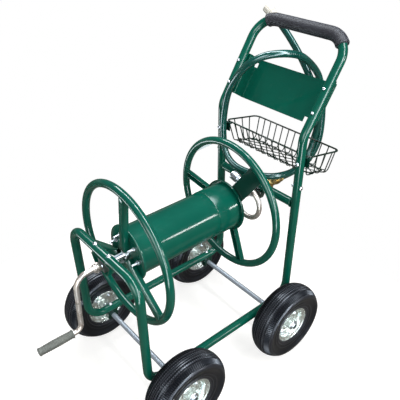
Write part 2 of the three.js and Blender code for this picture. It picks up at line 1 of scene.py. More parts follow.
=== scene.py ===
"""The looks of a garden hose reel cart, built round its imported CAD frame.

Metres, +Z up. +X points to the push handle, -X to the crank, +Y to the cart's left side.
"""
import json
from math import asin, cos, exp, pi, radians, sin, sqrt, tan

import bmesh
import bpy
from mathutils import Matrix, Quaternion, Vector, noise


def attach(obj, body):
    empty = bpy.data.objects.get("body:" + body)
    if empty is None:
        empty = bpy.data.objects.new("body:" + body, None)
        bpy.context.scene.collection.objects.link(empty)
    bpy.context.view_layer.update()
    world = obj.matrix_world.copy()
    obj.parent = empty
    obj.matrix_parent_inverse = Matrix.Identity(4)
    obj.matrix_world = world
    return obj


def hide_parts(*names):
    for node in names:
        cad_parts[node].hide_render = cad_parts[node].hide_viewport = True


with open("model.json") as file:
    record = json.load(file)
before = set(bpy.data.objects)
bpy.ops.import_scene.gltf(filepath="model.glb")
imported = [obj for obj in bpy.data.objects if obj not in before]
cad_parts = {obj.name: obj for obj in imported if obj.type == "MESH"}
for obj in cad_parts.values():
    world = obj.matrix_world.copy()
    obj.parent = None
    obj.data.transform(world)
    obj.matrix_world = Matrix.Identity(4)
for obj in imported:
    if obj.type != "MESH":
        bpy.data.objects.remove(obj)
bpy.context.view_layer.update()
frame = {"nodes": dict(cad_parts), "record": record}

X, Y, Z = Vector((1, 0, 0)), Vector((0, 1, 0)), Vector((0, 0, 1))
SIDES = (("left", 1), ("right", -1))

# ---- sizes, as in the CAD source

GAP = 0.0003

WHEEL_R = 0.127
WHEEL_Y = 0.227
AXLES = (("front", -0.175), ("rear", 0.232))
AXLE_R = 0.008
HUB_HALF = 0.034
HUB_R = 0.017

TUBE_R = 0.0127
TUBE_REACH = TUBE_R + GAP
HALF_WIDTH = 0.16
AXLE_DROP = 0.027
BASE_Z = WHEEL_R + AXLE_DROP
HOOP_X = -0.251
HOOP_Z = 0.514
UPRIGHT_X = 0.299
FRAME_BEND = 0.055
REEL_Z = HOOP_Z - 0.034
CROSS_TUBE_Z = REEL_Z + 0.026
HANGER_SHEET = 0.0025
HANGER_DEPTH = 0.02
STRAP_BOLT_Y = 0.033

SEAM_Z = CROSS_TUBE_Z + 0.015
KNEE_Z = SEAM_Z + 0.198
GRIP_X = 0.448
GRIP_Z = KNEE_Z + 0.231
KNEE_BEND = 0.06
GRIP_BEND = 0.065
FOAM_R = 0.019
HANDLE_BOLT_Z = SEAM_Z + 0.044
BASKET_BOLT_Z = SEAM_Z + 0.12
BOLT_R = 0.004

SHAFT_R = 0.008
RING_R = 0.198
RING_TUBE_R = 0.011
FRONT_RING_X = -0.188
REAR_RING_X = 0.179
DRUM_R = 0.07
CAP_R = 0.08
CAP_SHEET = 0.0025
SPOKE_WIDTH = 0.02
SPOKE_DEPTH = 0.018
FRONT_SPOKES = (99, 219, 339)
REAR_SPOKES = (7, 250.5)
FRONT_CAP_X = FRONT_RING_X + SPOKE_DEPTH / 2 + GAP - 0.003
REAR_CAP_X = REAR_RING_X - SPOKE_DEPTH / 2 - GAP + 0.003

CRANK_ROD_R = 0.007
CRANK_THROW = 0.175
CRANK_END_X = -0.468
CRANK_GRIP_X = -0.37
SOCKET_HALF = 0.01
CRANK_PIN_X = HOOP_X - HANGER_DEPTH / 2 - 0.0015 - SOCKET_HALF

HOSE_R = 0.01
SWIVEL_END = 0.388
HOSE_START = SWIVEL_END + GAP + 0.014

# ---- camera

CAMERA_AT = Vector((-0.6832, -0.9074, 1.3039))
CAMERA_LOOKS = Vector((0.5217, 0.6263, -0.5793)).normalized()
CAMERA_ROLL = radians(-0.6)


def place_new(name, data, at=None, looks=None, roll=0.0):
    """A new object in the scene, for a camera or lamp with its place and direction."""
    obj = bpy.data.objects.new(name, data)
    bpy.context.scene.collection.objects.link(obj)
    if at:
        facing = looks.to_track_quat("-Z", "Y") @ Quaternion(Z, roll)
        obj.matrix_world = Matrix.Translation(at) @ facing.to_matrix().to_4x4()
    return obj


def make_camera():
    data = bpy.data.cameras.new("camera")
    data.sensor_width = 36
    data.lens = 44.54
    data.shift_x = -0.0015
    data.shift_y = 0.053
    data.clip_start = 0.05
    data.clip_end = 60
    bpy.context.scene.camera = place_new("camera", data, CAMERA_AT, CAMERA_LOOKS, CAMERA_ROLL)


make_camera()

# ---- materials

PAINTS = {}


class Nodes:
    """The node tree of a material or a world, built up node by node."""

    def __init__(self, owner):
        owner.use_nodes = True
        self.tree = owner.node_tree

    def set(self, node, socket, value):
        if isinstance(socket, str):
            socket = socket.replace("_", " ")
        if isinstance(value, bpy.types.NodeSocket):
            self.tree.links.new(value, node.inputs[socket])
        else:
            node.inputs[socket].default_value = value

    def add(self, kind, *values, setting=None, **inputs):
        """A new node with one setting, its first inputs in order and its named inputs."""
        node = self.tree.nodes.new("ShaderNode" + kind)
        if setting:
            setattr(node, *setting)
        for socket, value in [*enumerate(values), *inputs.items()]:
            self.set(node, socket, value)
        return node

    def ramp(self, value, *stops):
        """Maps 0..1 to colours or greys."""
        node = self.add("ValToRGB", value)
        elements = node.color_ramp.elements
        while len(elements) < len(stops):
            elements.new(0.5)
        for element, (place, colour) in zip(elements, stops):
            element.position = place
            element.color = rgba(colour) if isinstance(colour, tuple) else (colour, colour, colour, 1)
        return node.outputs["Color"]

    def math(self, operation, *values):
        return self.add("Math", *values, setting=("operation", operation)).outputs[0]

    def seen_directly(self):
        """1 for camera, mirror and glass rays and 0 for soft light, with the kinds of ray."""
        rays = self.add("LightPath").outputs
        total = rays["Is Camera Ray"]
        for name in ("Is Glossy Ray", "Is Transmission Ray"):
            total = self.math("MAXIMUM", total, rays[name])
        return total, rays


class Coat(Nodes):
    """A material under its name in PAINTS."""

    def __init__(self, name):
        PAINTS[name] = bpy.data.materials.new(name)
        super().__init__(PAINTS[name])
        self.shader = self.tree.nodes["Principled BSDF"]
        self.place = self.add("TexCoord").outputs["Object"]

    def shade(self, **inputs):
        for socket, value in inputs.items():
            self.set(self.shader, socket, value)

    def noise(self, scale, detail=3):
        return self.add("TexNoise", self.place, Scale=scale, Detail=detail).outputs["Fac"]

    def cells(self, scale):
        return self.add("TexVoronoi", self.place, Scale=scale).outputs["Distance"]

    def mix(self, factor, a, b):
        node = self.add("Mix", factor, setting=("data_type", "RGBA"))
        self.set(node, 6, rgba(a))
        self.set(node, 7, rgba(b))
        return node.outputs[2]

    def patches(self, colour, other, scale, detail, low=0.35, high=0.7, most=1.0):
        """A colour with cloudy patches of another."""
        return self.mix(self.ramp(self.noise(scale, detail), (low, 0), (high, most)), colour, other)

    def edges(self, *stops):
        """A ramp from hollows, under 0.5, to convex edges, over it."""
        return self.ramp(self.add("NewGeometry").outputs["Pointiness"], *stops)

    def gloss(self, scale, low, high):
        self.shade(Roughness=self.ramp(self.noise(scale, 4), (0.3, low), (0.75, high)))

    def bump(self, height, strength, distance):
        node = self.add("Bump", Height=height, Strength=strength, Distance=distance)
        self.shade(Normal=node.outputs["Normal"])


def rgba(colour):
    """Turns three display values from 0 to 255 into a linear colour and leaves the rest."""
    if not isinstance(colour, tuple) or len(colour) != 3:
        return colour
    shares = [value / 255 for value in colour]
    return (*(v / 12.92 if v <= 0.04045 else ((v + 0.055) / 1.055) ** 2.4 for v in shares), 1.0)


def paint(name, colour, shade):
    """Gloss powder coat: slight orange peel, faint colour drift and scuffed edges."""
    n = Coat(name)
    drift = n.ramp(n.noise(9), (0.35, colour), (0.7, shade))
    dusty = n.patches(drift, (92, 128, 118), 60, 5, 0.62, 0.85, 0.06)
    scuffed = n.mix(0.35, colour, (120, 160, 148))
    n.shade(Base_Color=n.mix(n.edges((0.64, 0), (0.8, 1)), dusty, scuffed))
    n.gloss(30, 0.1, 0.17)
    n.bump(n.noise(300, 2), 0.02, 0.0003)


def metal(name, colour, tint, rough, bare=1.0, grain=0.01):
    """Plated or varnished metal with an uneven tint; bare is the share without varnish."""
    n = Coat(name)
    tinted = n.patches(colour, tint, 34, 4)
    n.shade(Base_Color=n.patches(tinted, (110, 112, 116), 60, 3, 0.55, 0.8, 0.08), Metallic=bare)
    n.gloss(40, rough * 0.85, rough * 1.2)
    n.bump(n.noise(120), grain, 0.0002)


def plastic(name, colour, shade, rough):
    """Mottled plastic, a little rubbed at its edges."""
    n = Coat(name)
    rubbed = n.mix(0.25, colour, (190, 190, 186))
    n.shade(Base_Color=n.mix(n.edges((0.55, 0), (0.66, 1)), n.patches(colour, shade, 24, 5), rubbed))
    n.gloss(50, rough * 0.85, rough * 1.2)
    n.bump(n.noise(500), 0.25, 0.0003)


def rubber(name):
    """Bluish black rubber with chalky patches, painted shade in its hollows, and rubbed edges that are also
    lightened as a painted highlight.
    """
    n = Coat(name)
    base = n.patches((11, 12, 17), (16, 17, 23), 16, 5)
    chalky = n.patches(base, (46, 48, 56), 150, 5, 0.6, 0.85, 0.12)
    # painted shade: grooves and notches (pointiness under 0.5) are darkened nearly to black, standing in for
    # the shade in them
    painted_hollow_shade = n.mix(n.edges((0.44, 1), (0.495, 0)), chalky, (3, 3, 4))
    # convex edges lightened: partly rubbed rubber, partly a painted highlight on the rib and notch edges
    n.shade(Base_Color=n.mix(n.edges((0.52, 0), (0.58, 1)), painted_hollow_shade, (104, 106, 114)))
    n.shade(Specular_IOR_Level=0.6, Specular_Tint=(0.84, 0.9, 1.0, 1))
    n.gloss(40, 0.28, 0.38)
    n.bump(n.noise(700), 0.1, 0.0002)


def sponge(name):
    """Closed-cell foam with a skin of fine pores, painted darker as shade in them."""
    n = Coat(name)
    base = n.patches((33, 33, 40), (41, 41, 49), 40, 5, 0.3)
    # painted shade: the middle of each pore cell is darkened
    n.shade(Base_Color=n.mix(n.ramp(n.cells(900), (0.0, 0.35), (0.35, 0)), base, (22, 22, 27)))
    n.shade(Roughness=0.6, Specular_IOR_Level=0.6)
    n.bump(n.mix(0.5, n.cells(900), n.noise(160, 4)), 0.06, 0.0003)


def vinyl(name, colour, shade):
    """Glossy vinyl hose, faintly scuffed."""
    n = Coat(name)
    base = n.ramp(n.noise(18, 4), (0.35, colour), (0.7, shade))
    n.shade(Base_Color=n.patches(base, (110, 150, 142), 95, 5, 0.6, 0.85, 0.18))
    n.shade(Specular_IOR_Level=1.0, Specular_Tint=(0.84, 0.96, 1.0, 1))
    n.gloss(60, 0.16, 0.24)
    n.bump(n.noise(240), 0.05, 0.0004)


paint("frame_paint", (8, 94, 76), (7, 86, 70))
paint("reel_paint", (8, 94, 77), (7, 86, 71))
paint("dark_paint", (4, 52, 42), (3, 44, 36))
paint("basket_wire", (16, 52, 42), (40, 42, 34))
metal("zinc", (222, 225, 229), (206, 212, 220), 0.34)
metal("chrome", (206, 200, 196), (190, 176, 164), 0.28, bare=0.6, grain=0.004)
metal("rod", (168, 177, 187), (158, 168, 180), 0.45, bare=0.35, grain=0.002)
metal("brass", (214, 186, 122), (198, 166, 102), 0.34)
metal("rim", (234, 241, 238), (224, 230, 224), 0.28, bare=0.85, grain=0.004)
plastic("connector", (240, 236, 226), (228, 222, 206), 0.35)
plastic("crank_grip", (104, 107, 101), (92, 95, 90), 0.5)
plastic("nylon", (26, 52, 46), (22, 44, 38), 0.45)
rubber("tyre")
sponge("foam")
vinyl("hose", (12, 84, 74), (8, 72, 64))

# ---- shape helpers


def rounded_path(corners, radii, steps):
    """A line through the corners, each inner corner rounded to its bend radius."""
    corners = [Vector(c) for c in corners]
    if not isinstance(radii, list):
        radii = [radii] * (len(corners) - 2)
    points = [corners[0]]
    for a, b, c, radius in zip(corners, corners[1:], corners[2:], radii):
        points += bend(a, b, c, radius, steps)
    return points + [corners[-1]]


def rounded_loop(corners, radius):
    return rounded_path(corners[-1:] + corners + corners[:1], radius, 6)[1:-1]


def bend(a, b, c, radius, steps):
    """The arc that rounds the corner b between a and c."""
    into, out = (b - a).normalized(), (c - b).normalized()
    turn = into.angle(out)
    centre = b + (out - into).normalized() * (radius / cos(turn / 2))
    start = b - into * (radius * tan(turn / 2)) - centre
    axis = into.cross(out).normalized()
    return [Quaternion(axis, turn * k / steps) @ start + centre for k in range(steps + 1)]


def stretch(path, start, end, step):
    """The part of a path between two distances along it, with points about a step apart."""
    count = round((end - start) / step)
    lengths = [(b - a).length for a, b in zip(path, path[1:])]
    points, run, index = [], 0.0, 0
    for k in range(count + 1):
        mark = start + (end - start) * k / count
        while run + lengths[index] < mark:
            run += lengths[index]
            index += 1
        points.append(path[index].lerp(path[index + 1], (mark - run) / lengths[index]))
    return points


def smooth_curve(points, step):
    """Centripetal Catmull-Rom curve, with points about a step apart."""
    ends = [points[0] * 2 - points[1]] + points + [points[-1] * 2 - points[-2]]
    out = []
    for a, b, c, d in zip(ends, ends[1:], ends[2:], ends[3:]):
        t1 = (b - a).length ** 0.5
        t2 = t1 + (c - b).length ** 0.5
        t3 = t2 + (d - c).length ** 0.5
        count = max(2, round((c - b).length / step))
        for k in range(count):
            t = t1 + (t2 - t1) * k / count
            p = a.lerp(b, t / t1)
            q = b.lerp(c, (t - t1) / (t2 - t1))
            r = c.lerp(d, (t - t2) / (t3 - t2))
            out.append(p.lerp(q, t / t2).lerp(q.lerp(r, (t - t1) / (t3 - t1)), (t - t1) / (t2 - t1)))
    return out + [points[-1].copy()]


def across(axis):
    side = Z if abs(axis.z) < 0.9 else Y
    return (side - axis * side.dot(axis)).normalized()


def ring_points(count):
    for k in range(count):
        angle = 2 * pi * k / count
        yield cos(angle), sin(angle)


def circle(radius, sides):
    return [(radius * u, radius * v) for u, v in ring_points(sides)]


def sweep(bm, path, section, closed=False, swell=None):
    """Carries a closed section along a path, without twist. swell(share, k) scales it at a point."""
    rings = []
    side = None
    last = len(path) - 1
    for i, point in enumerate(path):
        before = path[i - 1] if closed or i > 0 else point
        after = path[(i + 1) % len(path)] if closed or i < last else point
        tangent = ((point - before).normalized() + (after - point).normalized()).normalized()
        side = side or across(tangent)
        side = (side - tangent * side.dot(tangent)).normalized()
        up = tangent.cross(side)
        ring = []
        for k, (u, v) in enumerate(section):
            grow = swell(i / last, k / len(section)) if swell else 1
            ring.append(bm.verts.new(point + side * (u * grow) + up * (v * grow)))
        rings.append(ring)
    skin(bm, rings, closed)
    if not closed:
        bm.faces.new(rings[0][::-1])
        bm.faces.new(rings[-1])
    return bm


def skin(bm, rings, closed=False):
    """Faces between rings of points, any of which may be a single point."""
    for here, there in zip(rings, rings[1:] + rings[:1] if closed else rings[1:]):
        count = max(len(here), len(there))
        for k in range(count if count > 1 else 0):
            j = (k + 1) % count
            corners = (here[k % len(here)], here[j % len(here)], there[j % len(there)], there[k % len(there)])
            corners = list(dict.fromkeys(corners))
            if len(corners) > 2:
                bm.faces.new(corners)


def turned(bm, profile, centre, axis, segments=48, closed=False, ripple=None):
    """Turns (radius, distance) points about an axis. ripple(j, k) is added to a point's radius."""
    axis = Vector(axis).normalized()
    side = across(axis)
    up = axis.cross(side)
    rings = []
    for j, (radius, along) in enumerate(profile):
        middle = Vector(centre) + axis * along
        if radius < 1e-6:
            rings.append([bm.verts.new(middle)])
            continue
        ring = []
        for k, (u, v) in enumerate(ring_points(segments)):
            r = radius + (ripple(j, k) if ripple else 0)
            ring.append(bm.verts.new(middle + side * (r * u) + up * (r * v)))
        rings.append(ring)
    skin(bm, rings, closed)
    return bm


def knurl(depth, *places):
    """A ripple that sinks every fourth edge at two places of a profile."""
    return lambda j, k: -depth if j in places and k % 4 == 0 else 0


def mm(*points):
    """Profile points given in millimetres."""
    return [(radius / 1000, along / 1000) for radius, along in points]


def arc(centre_r, centre_a, radius, start, end, steps):
    """(radius, distance) points on an arc of a profile; angles in degrees from outward."""
    angles = [radians(start + (end - start) * k / steps) for k in range(steps + 1)]
    return [(centre_r + radius * cos(a), centre_a + radius * sin(a)) for a in angles]


def prism(bm, outline, at, depth):
    """Extrudes a flat (y, z) outline from a point along X."""
    low, high = ([bm.verts.new(at + Vector((x, y, z))) for y, z in outline] for x in (0, depth))
    skin(bm, [low, high])
    bm.faces.new(low[::-1])
    bm.faces.new(high)
    return bm


def outward(degrees, length=1.0):
    """A vector across the reel's axis, at an angle from +Y towards +Z."""
    angle = radians(degrees)
    return Vector((0, length * cos(angle), length * sin(angle)))


def on_axis(x=0.0):
    return Vector((x, 0, REEL_Z))


# ---- making pieces

SHARP = 38
BODY_OF = {node: body for body, nodes in frame["record"]["behaviour"]["bodies"].items() for node in nodes}


def mesh_of(name, bm, finish):
    mesh = bpy.data.meshes.new(name)
    bm.to_mesh(mesh)
    bm.free()
    mesh.materials.append(PAINTS[finish])
    return mesh


def round_edges(obj, width, segments=2, angle=30):
    modifier = obj.modifiers.new("rounded edges", "BEVEL")
    modifier.width = width
    modifier.segments = segments
    modifier.limit_method = "ANGLE"
    modifier.angle_limit = radians(angle)


def thicken(obj, sheet, edge):
    """Gives a bent sheet its thickness, half to each side, and rounded edges."""
    modifier = obj.modifiers.new("sheet", "SOLIDIFY")
    modifier.thickness = sheet
    modifier.offset = 0
    round_edges(obj, edge)


def piece(name, bm, body, slot, sharp=SHARP, bevel=0.0, segments=2, look=None):
    """A piece that rides on a body, with the slot's finish or the look's."""
    bmesh.ops.remove_doubles(bm, verts=bm.verts, dist=1e-7)
    bmesh.ops.recalc_face_normals(bm, faces=bm.faces)
    mesh = mesh_of(name, bm, look or slot)
    mesh.shade_smooth()
    mesh.set_sharp_from_angle(angle=radians(sharp))
    obj = place_new(name, mesh)
    if bevel:
        round_edges(obj, bevel, segments, sharp)
    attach(obj, body)
    return obj


def stand_in(name, bm, node, slot, **options):
    """A piece that stands for a CAD node and moves with its body."""
    obj = piece(name, bm, BODY_OF[node], slot, **options)
    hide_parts(node)
    return obj


def finish_node(node, slot, bevel):
    """A CAD node that keeps its shape and gets a finish and rounded edges."""
    obj = frame["nodes"][node]
    for material_slot in obj.material_slots:
        material_slot.material = PAINTS[slot]
    round_edges(obj, bevel, angle=SHARP)


def hexagon(bm, at, direction, radius, height):
    """A six-sided head or nut with chamfered corners, standing on a point."""
    profile = [(0, 0), (radius * 0.93, 0), (radius, height * 0.12), (radius, height * 0.8)]
    turned(bm, profile + [(radius * 0.84, height), (0, height)], at, direction, 6)


def dome(bm, at, direction, radius, height=0.0042):
    """A low round bolt head standing on a point."""
    angles = [pi / 14 * k for k in range(1, 7)]
    profile = [(radius * cos(angle), height * (0.15 + 0.85 * sin(angle))) for angle in angles]
    turned(bm, [(0, 0), (radius, 0), *profile, (0, height)], at, direction, 24)


def nut(bm, at, direction, radius, height, washer=0.0062, thickness=0.0012):
    """A nut or bolt head on its washer, standing on a point."""
    profile = [(0, 0), (washer, 0), (washer, thickness * 0.8), (washer * 0.97, thickness), (0, thickness)]
    turned(bm, profile, at, direction, 24)
    hexagon(bm, at + direction * thickness, direction, radius, height)


def bolt(bm, at, direction, shank, head, grip, domed=False):
    """A bolt with its head on a point and its nut on the far side of the grip."""
    direction = Vector(direction).normalized()
    at = Vector(at)
    end = -grip - 0.0062
    if domed:
        dome(bm, at, direction, head)
    else:
        nut(bm, at, direction, head * 0.97, 0.0037, head * 1.05, 0.0008)
    profile = [(0, 0.001), (shank, 0.001), (shank, end + 0.0006), (shank * 0.8, end), (0, end)]
    turned(bm, profile, at, direction, 20)
    hexagon(bm, at - direction * grip, -direction, head * 0.97, 0.005)


def bolt_node(node, *measures):
    """A domed bolt that stands for a CAD node."""
    bm = bmesh.new()
    bolt(bm, *measures, domed=True)
    stand_in(f"{node}_zinc", bm, node, "zinc")


# ---- leader hose

HOSE_ROUTE = [Vector(p) / 1000 for p in (
    (HOSE_START * 1000, 0, REEL_Z * 1000), (430, 0, 480), (458, -5, 484), (485, -17, 499), (504, -32, 526),
    (518, -53, 600), (511, -53, 730), (493, -47, 798), (472, -46, 830), (402, -47, 885), (366, -41, 899),
    (331, -24, 903), (304, 1, 897), (287, 27, 881), (280, 55, 856), (279, 110, 780), (279, 132, 685),
    (280, 132, 616), (281, 126, 581), (284, 109, 553), (289, 83, 536), (297, 51, 529.5), (304, 22, 529.5),
    (315, -8, 529.5), (338, -33, 529.5), (368, -46, 529), (412, -49, 527), (444, -49, 533),
    (470, -49, 550), (487, -49, 576), (493, -51, 607), (489, -62, 656), (480, -70, 698), (472, -68, 734),
    (464, -59, 770), (459, -42, 804), (469, 14, 858), (476, 74, 906), (476, 126, 945), (473, 145, 959),
)]


def make_hose():
    points = smooth_curve(HOSE_ROUTE, 0.006)
    data = bpy.data.curves.new("leader_hose", "CURVE")
    data.dimensions = "3D"
    data.bevel_depth = HOSE_R
    data.bevel_resolution = 8
    data.use_fill_caps = True
    spline = data.splines.new("POLY")
    spline.points.add(len(points) - 1)
    for place, point in zip(spline.points, points):
        place.co = (*point, 1)
    spline.use_smooth = True
    data.materials.append(PAINTS["hose"])
    hose = place_new("leader_hose_skin", data)
    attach(hose, "frame")
    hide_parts("leader_hose")
    return hose


def make_hose_nut():
    """Crimped ferrule on the hose and the knurled nut on the swivel."""
    bore = HOSE_R * 1000
    profile = mm((bore, 13.5), (11.8, 13.8), (12.4, 12), (11.8, 10.5), (12.4, 9), (11.8, 7.5), (12.4, 6),
                 (12.4, 2), (13.6, 0.5), (14.5, -1), (14.5, -13.6), (13.8, -13.8), (bore, -13.8))
    bm = turned(bmesh.new(), profile, on_axis(HOSE_START), X, closed=True,
                ripple=knurl(0.0006, 9, 10))
    return stand_in("hose_nut_knurled", bm, "hose_nut", "brass", sharp=30)


def make_connector():
    """Pale end connector: collar, waist and grip ribs, open at its mouth."""
    end = HOSE_ROUTE[-1]
    heading = (end - HOSE_ROUTE[-2]).normalized()
    profile = [(HOSE_R + 0.0002, -0.0138)]
    profile += mm((11.8, -14), (12.5, -13), (12.5, -3), (13.2, -1), (14.5, 0.5), (14.5, 19.5), (13.8, 21.5),
                  (12.8, 22), (10.5, 22), (10, 21), (9.5, 6), (0, 6))
    bm = turned(bmesh.new(), profile, end, heading, ripple=knurl(0.0007, 5, 6))
    inner = HOSE_R - 0.0003
    turned(bm, [(0.0, 0.0005), (inner, 0.0005), (inner, -0.0138)], end, heading)
    return stand_in("end_connector", bm, "tap_connector", "connector", sharp=30)


hose = make_hose()
hose_nut = make_hose_nut()
connector = make_connector()

# ---- frame

WELD_RIPPLES = 18


def mirrored(points):
    """The points, then their mirror images across the cart, back to the first."""
    return points + [(x, -y, z) for x, y, z in reversed(points)]


def make_frame():
    top = SEAM_Z - GAP
    corners = mirrored([(UPRIGHT_X, HALF_WIDTH, top), (UPRIGHT_X, HALF_WIDTH, BASE_Z),
                        (HOOP_X, HALF_WIDTH, BASE_Z), (HOOP_X, HALF_WIDTH, HOOP_Z)])
    bm = sweep(bmesh.new(), rounded_path(corners, FRAME_BEND, 16), circle(TUBE_R, 36))
    for _, side in SIDES:
        foot = Vector((UPRIGHT_X, side * HALF_WIDTH, top - 0.004))
        sweep(bm, [foot, foot + Z * 0.06], circle(0.0104, 24))
    stand_in("frame_bent_tube", bm, "frame_tube", "frame_paint")

    reach = HALF_WIDTH - TUBE_REACH
    ends = [Vector((UPRIGHT_X, y, CROSS_TUBE_Z)) for y in (reach, -reach)]
    bm = sweep(bmesh.new(), ends, circle(TUBE_R, 36))
    for _, side in SIDES:
        weld_bead(bm, Vector((UPRIGHT_X, side * (reach - 0.0005), CROSS_TUBE_Z)))
    stand_in("rear_cross_bar", bm, "rear_cross_tube", "frame_paint")


def weld_bead(bm, centre):
    """A rippled weld round an end of the cross tube."""
    up = Y.cross(across(Y))
    path = [centre + across(Y) * (TUBE_R * u) + up * (TUBE_R * v) for u, v in ring_points(4 * WELD_RIPPLES)]
    sweep(bm, path, circle(0.0021, 8), closed=True,
          swell=lambda share, k: 1 + 0.16 * sin(share * WELD_RIPPLES * 2 * pi))


def make_bearing(end, x, tube_z, top_half, bottom_half, look):
    """Sheet-metal hanger: a closed band bent round the bearing block."""
    half, sheet = HANGER_DEPTH / 2, HANGER_SHEET / 2
    top = tube_z - TUBE_REACH - sheet
    bottom = REEL_Z - 0.02 + sheet
    corners = [(x, -top_half, top), (x, top_half, top), (x, bottom_half, bottom), (x, -bottom_half, bottom)]
    section = [(-sheet, -half), (sheet, -half), (sheet, half), (-sheet, half)]
    bm = sweep(bmesh.new(), rounded_loop(corners, 0.005), section, closed=True)
    stand_in(f"{end}_hanger_band", bm, f"{end}_bearing_hanger", "dark_paint", bevel=0.0005, look=look)
    finish_node(f"{end}_bearing_block", "nylon", 0.0012)


make_frame()
make_bearing("front", HOOP_X, HOOP_Z, STRAP_BOLT_Y + 0.014, 0.026, "frame_paint")
make_bearing("rear", UPRIGHT_X, CROSS_TUBE_Z, 0.034, 0.024, "dark_paint")
for name, side in SIDES:
    bolt_node(f"hanger_bolt_{name}", (HOOP_X, side * STRAP_BOLT_Y, HOOP_Z + TUBE_REACH), Z, BOLT_R, 0.0062,
              2 * TUBE_R + 3 * GAP + HANGER_SHEET)

# ---- push handle and foam grip

HANDLE_LEFT = [(UPRIGHT_X, HALF_WIDTH, SEAM_Z), (UPRIGHT_X, HALF_WIDTH, KNEE_Z), (GRIP_X, HALF_WIDTH, GRIP_Z)]
HANDLE_PATH = rounded_path(mirrored(HANDLE_LEFT), [KNEE_BEND, GRIP_BEND, GRIP_BEND, KNEE_BEND], 16)
FOAM_LEFT, FOAM_RIGHT = 0.13, 0.152
SLANT = Vector((GRIP_X - UPRIGHT_X, 0, GRIP_Z - KNEE_Z)).normalized()
BEHIND = Vector((SLANT.z, 0, -SLANT.x))


def on_slant(along, back, y):
    """A point by the slanted part of the handle, measured from its knee."""
    return Vector((UPRIGHT_X, y, KNEE_Z)) + SLANT * along + BEHIND * back


def make_handle():
    bm = sweep(bmesh.new(), HANDLE_PATH, circle(TUBE_R, 36))
    stand_in("handle_bent_tube", bm, "handle_tube", "frame_paint")
    for name, side in SIDES:
        at = (UPRIGHT_X, side * (HALF_WIDTH + TUBE_REACH), HANDLE_BOLT_Z)
        bolt_node(f"handle_bolt_{name}", at, Y * side, BOLT_R, 0.0065, 2 * TUBE_REACH)


def make_foam():
    """Foam sleeve stretched round the bar: a little uneven, with rounded lips at its ends."""
    middle = sum((b - a).length for a, b in zip(HANDLE_PATH, HANDLE_PATH[1:])) / 2
    path = stretch(HANDLE_PATH, middle - FOAM_LEFT, middle + FOAM_RIGHT, 0.0025)
    total = FOAM_LEFT + FOAM_RIGHT

    def swell(share, k):
        distance = share * total
        edge = min(distance, total - distance)
        lip = 1 - 0.22 * max(0.0, 1 - edge / 0.004) ** 2
        collar = 0.03 * exp(-((edge - 0.006) / 0.004) ** 2)
        turn = k * 6.283
        wave = 0.02 * noise.noise(Vector((distance * 38, cos(turn) * 1.4, sin(turn) * 1.4)))
        return lip * (0.975 + collar + wave)

    bm = sweep(bmesh.new(), path, circle(FOAM_R, 40), swell=swell)
    foam = stand_in("foam_sleeve", bm, "foam_grip", "foam", sharp=60)


make_handle()
make_foam()

# ---- blank panel

PANEL_SHEET = 0.0016
PANEL_BACK = 0.055
PANEL_FROM = 0.041
PANEL_HEIGHT = 0.124
PANEL_CORNER = 0.0012
PANEL_STEP = 0.006
TAB_HALF = HALF_WIDTH + 0.009
PANEL_BOLTS = (0.065, 0.133)
PANEL_SLOTS = ((1, PANEL_HEIGHT - 0.026, PANEL_HEIGHT - 0.012), (-1, 0.0, 0.016))
SLOT_HALF = 0.005
SLOT_DEPTH = 0.006
RIGHT_CUT = 0.052


def make_panel():
    """A pan bent from one sheet, with two flanges, two tabs and slots at the bends."""
    half = HALF_WIDTH - TUBE_REACH - PANEL_SHEET / 2
    face = PANEL_BACK + PANEL_SHEET / 2
    tab = TUBE_REACH + PANEL_SHEET / 2
    line = rounded_path([(-TAB_HALF, tab, 0), (-half, tab, 0), (-half, face, 0), (half, face, 0),
                         (half, tab, 0), (TAB_HALF, tab, 0)], PANEL_CORNER, 6)
    columns = []
    for a, b in zip(line, line[1:]):
        pieces = max(1, round((b - a).length / PANEL_STEP))
        columns += [a.lerp(b, k / pieces) for k in range(pieces)]
    columns.append(line[-1])
    marks = sorted({0.0, 0.002, PANEL_HEIGHT - 0.002, PANEL_HEIGHT, *(m for s in PANEL_SLOTS for m in s[1:]),
                    *(PANEL_HEIGHT * k / 12 for k in range(1, 12))})

    def cut_away(spot, height):
        """Whether a slot opens the sheet: at a bend, and further along the face on the right."""
        bend_slot = abs(abs(spot.x) - half) < SLOT_HALF and spot.y > face - SLOT_DEPTH
        face_slot = spot.x > half - RIGHT_CUT and spot.y > tab + SLOT_DEPTH
        side = -1 if spot.x > 0 else 1
        at_slot = any(side == s and low < height < high for s, low, high in PANEL_SLOTS)
        return at_slot and (bend_slot or face_slot)

    bm = bmesh.new()
    grid = []
    for mark in marks:
        edge = TAB_HALF - (0.0012 if mark in (0.0, PANEL_HEIGHT) else 0.0)
        grid.append([bm.verts.new(on_slant(PANEL_FROM + mark, point.y, -max(-edge, min(edge, point.x))))
                     for point in columns])
    for i in range(len(marks) - 1):
        for k in range(len(columns) - 1):
            if not cut_away((columns[k] + columns[k + 1]) / 2, (marks[i] + marks[i + 1]) / 2):
                bm.faces.new((grid[i][k], grid[i][k + 1], grid[i + 1][k + 1], grid[i + 1][k]))
    panel = stand_in("blank_panel", bm, "sign_panel", "frame_paint")
    thicken(panel, PANEL_SHEET, 0.0004)
    for name, side in SIDES:
        for i, along in enumerate(PANEL_BOLTS):
            at = on_slant(along, -TUBE_REACH, side * HALF_WIDTH)
            bolt_node(f"panel_bolt_{name}_{i + 1}", at, -BEHIND, 0.003, 0.0044,
                      2 * TUBE_R + 3 * GAP + PANEL_SHEET)


make_panel()

# ---- basket

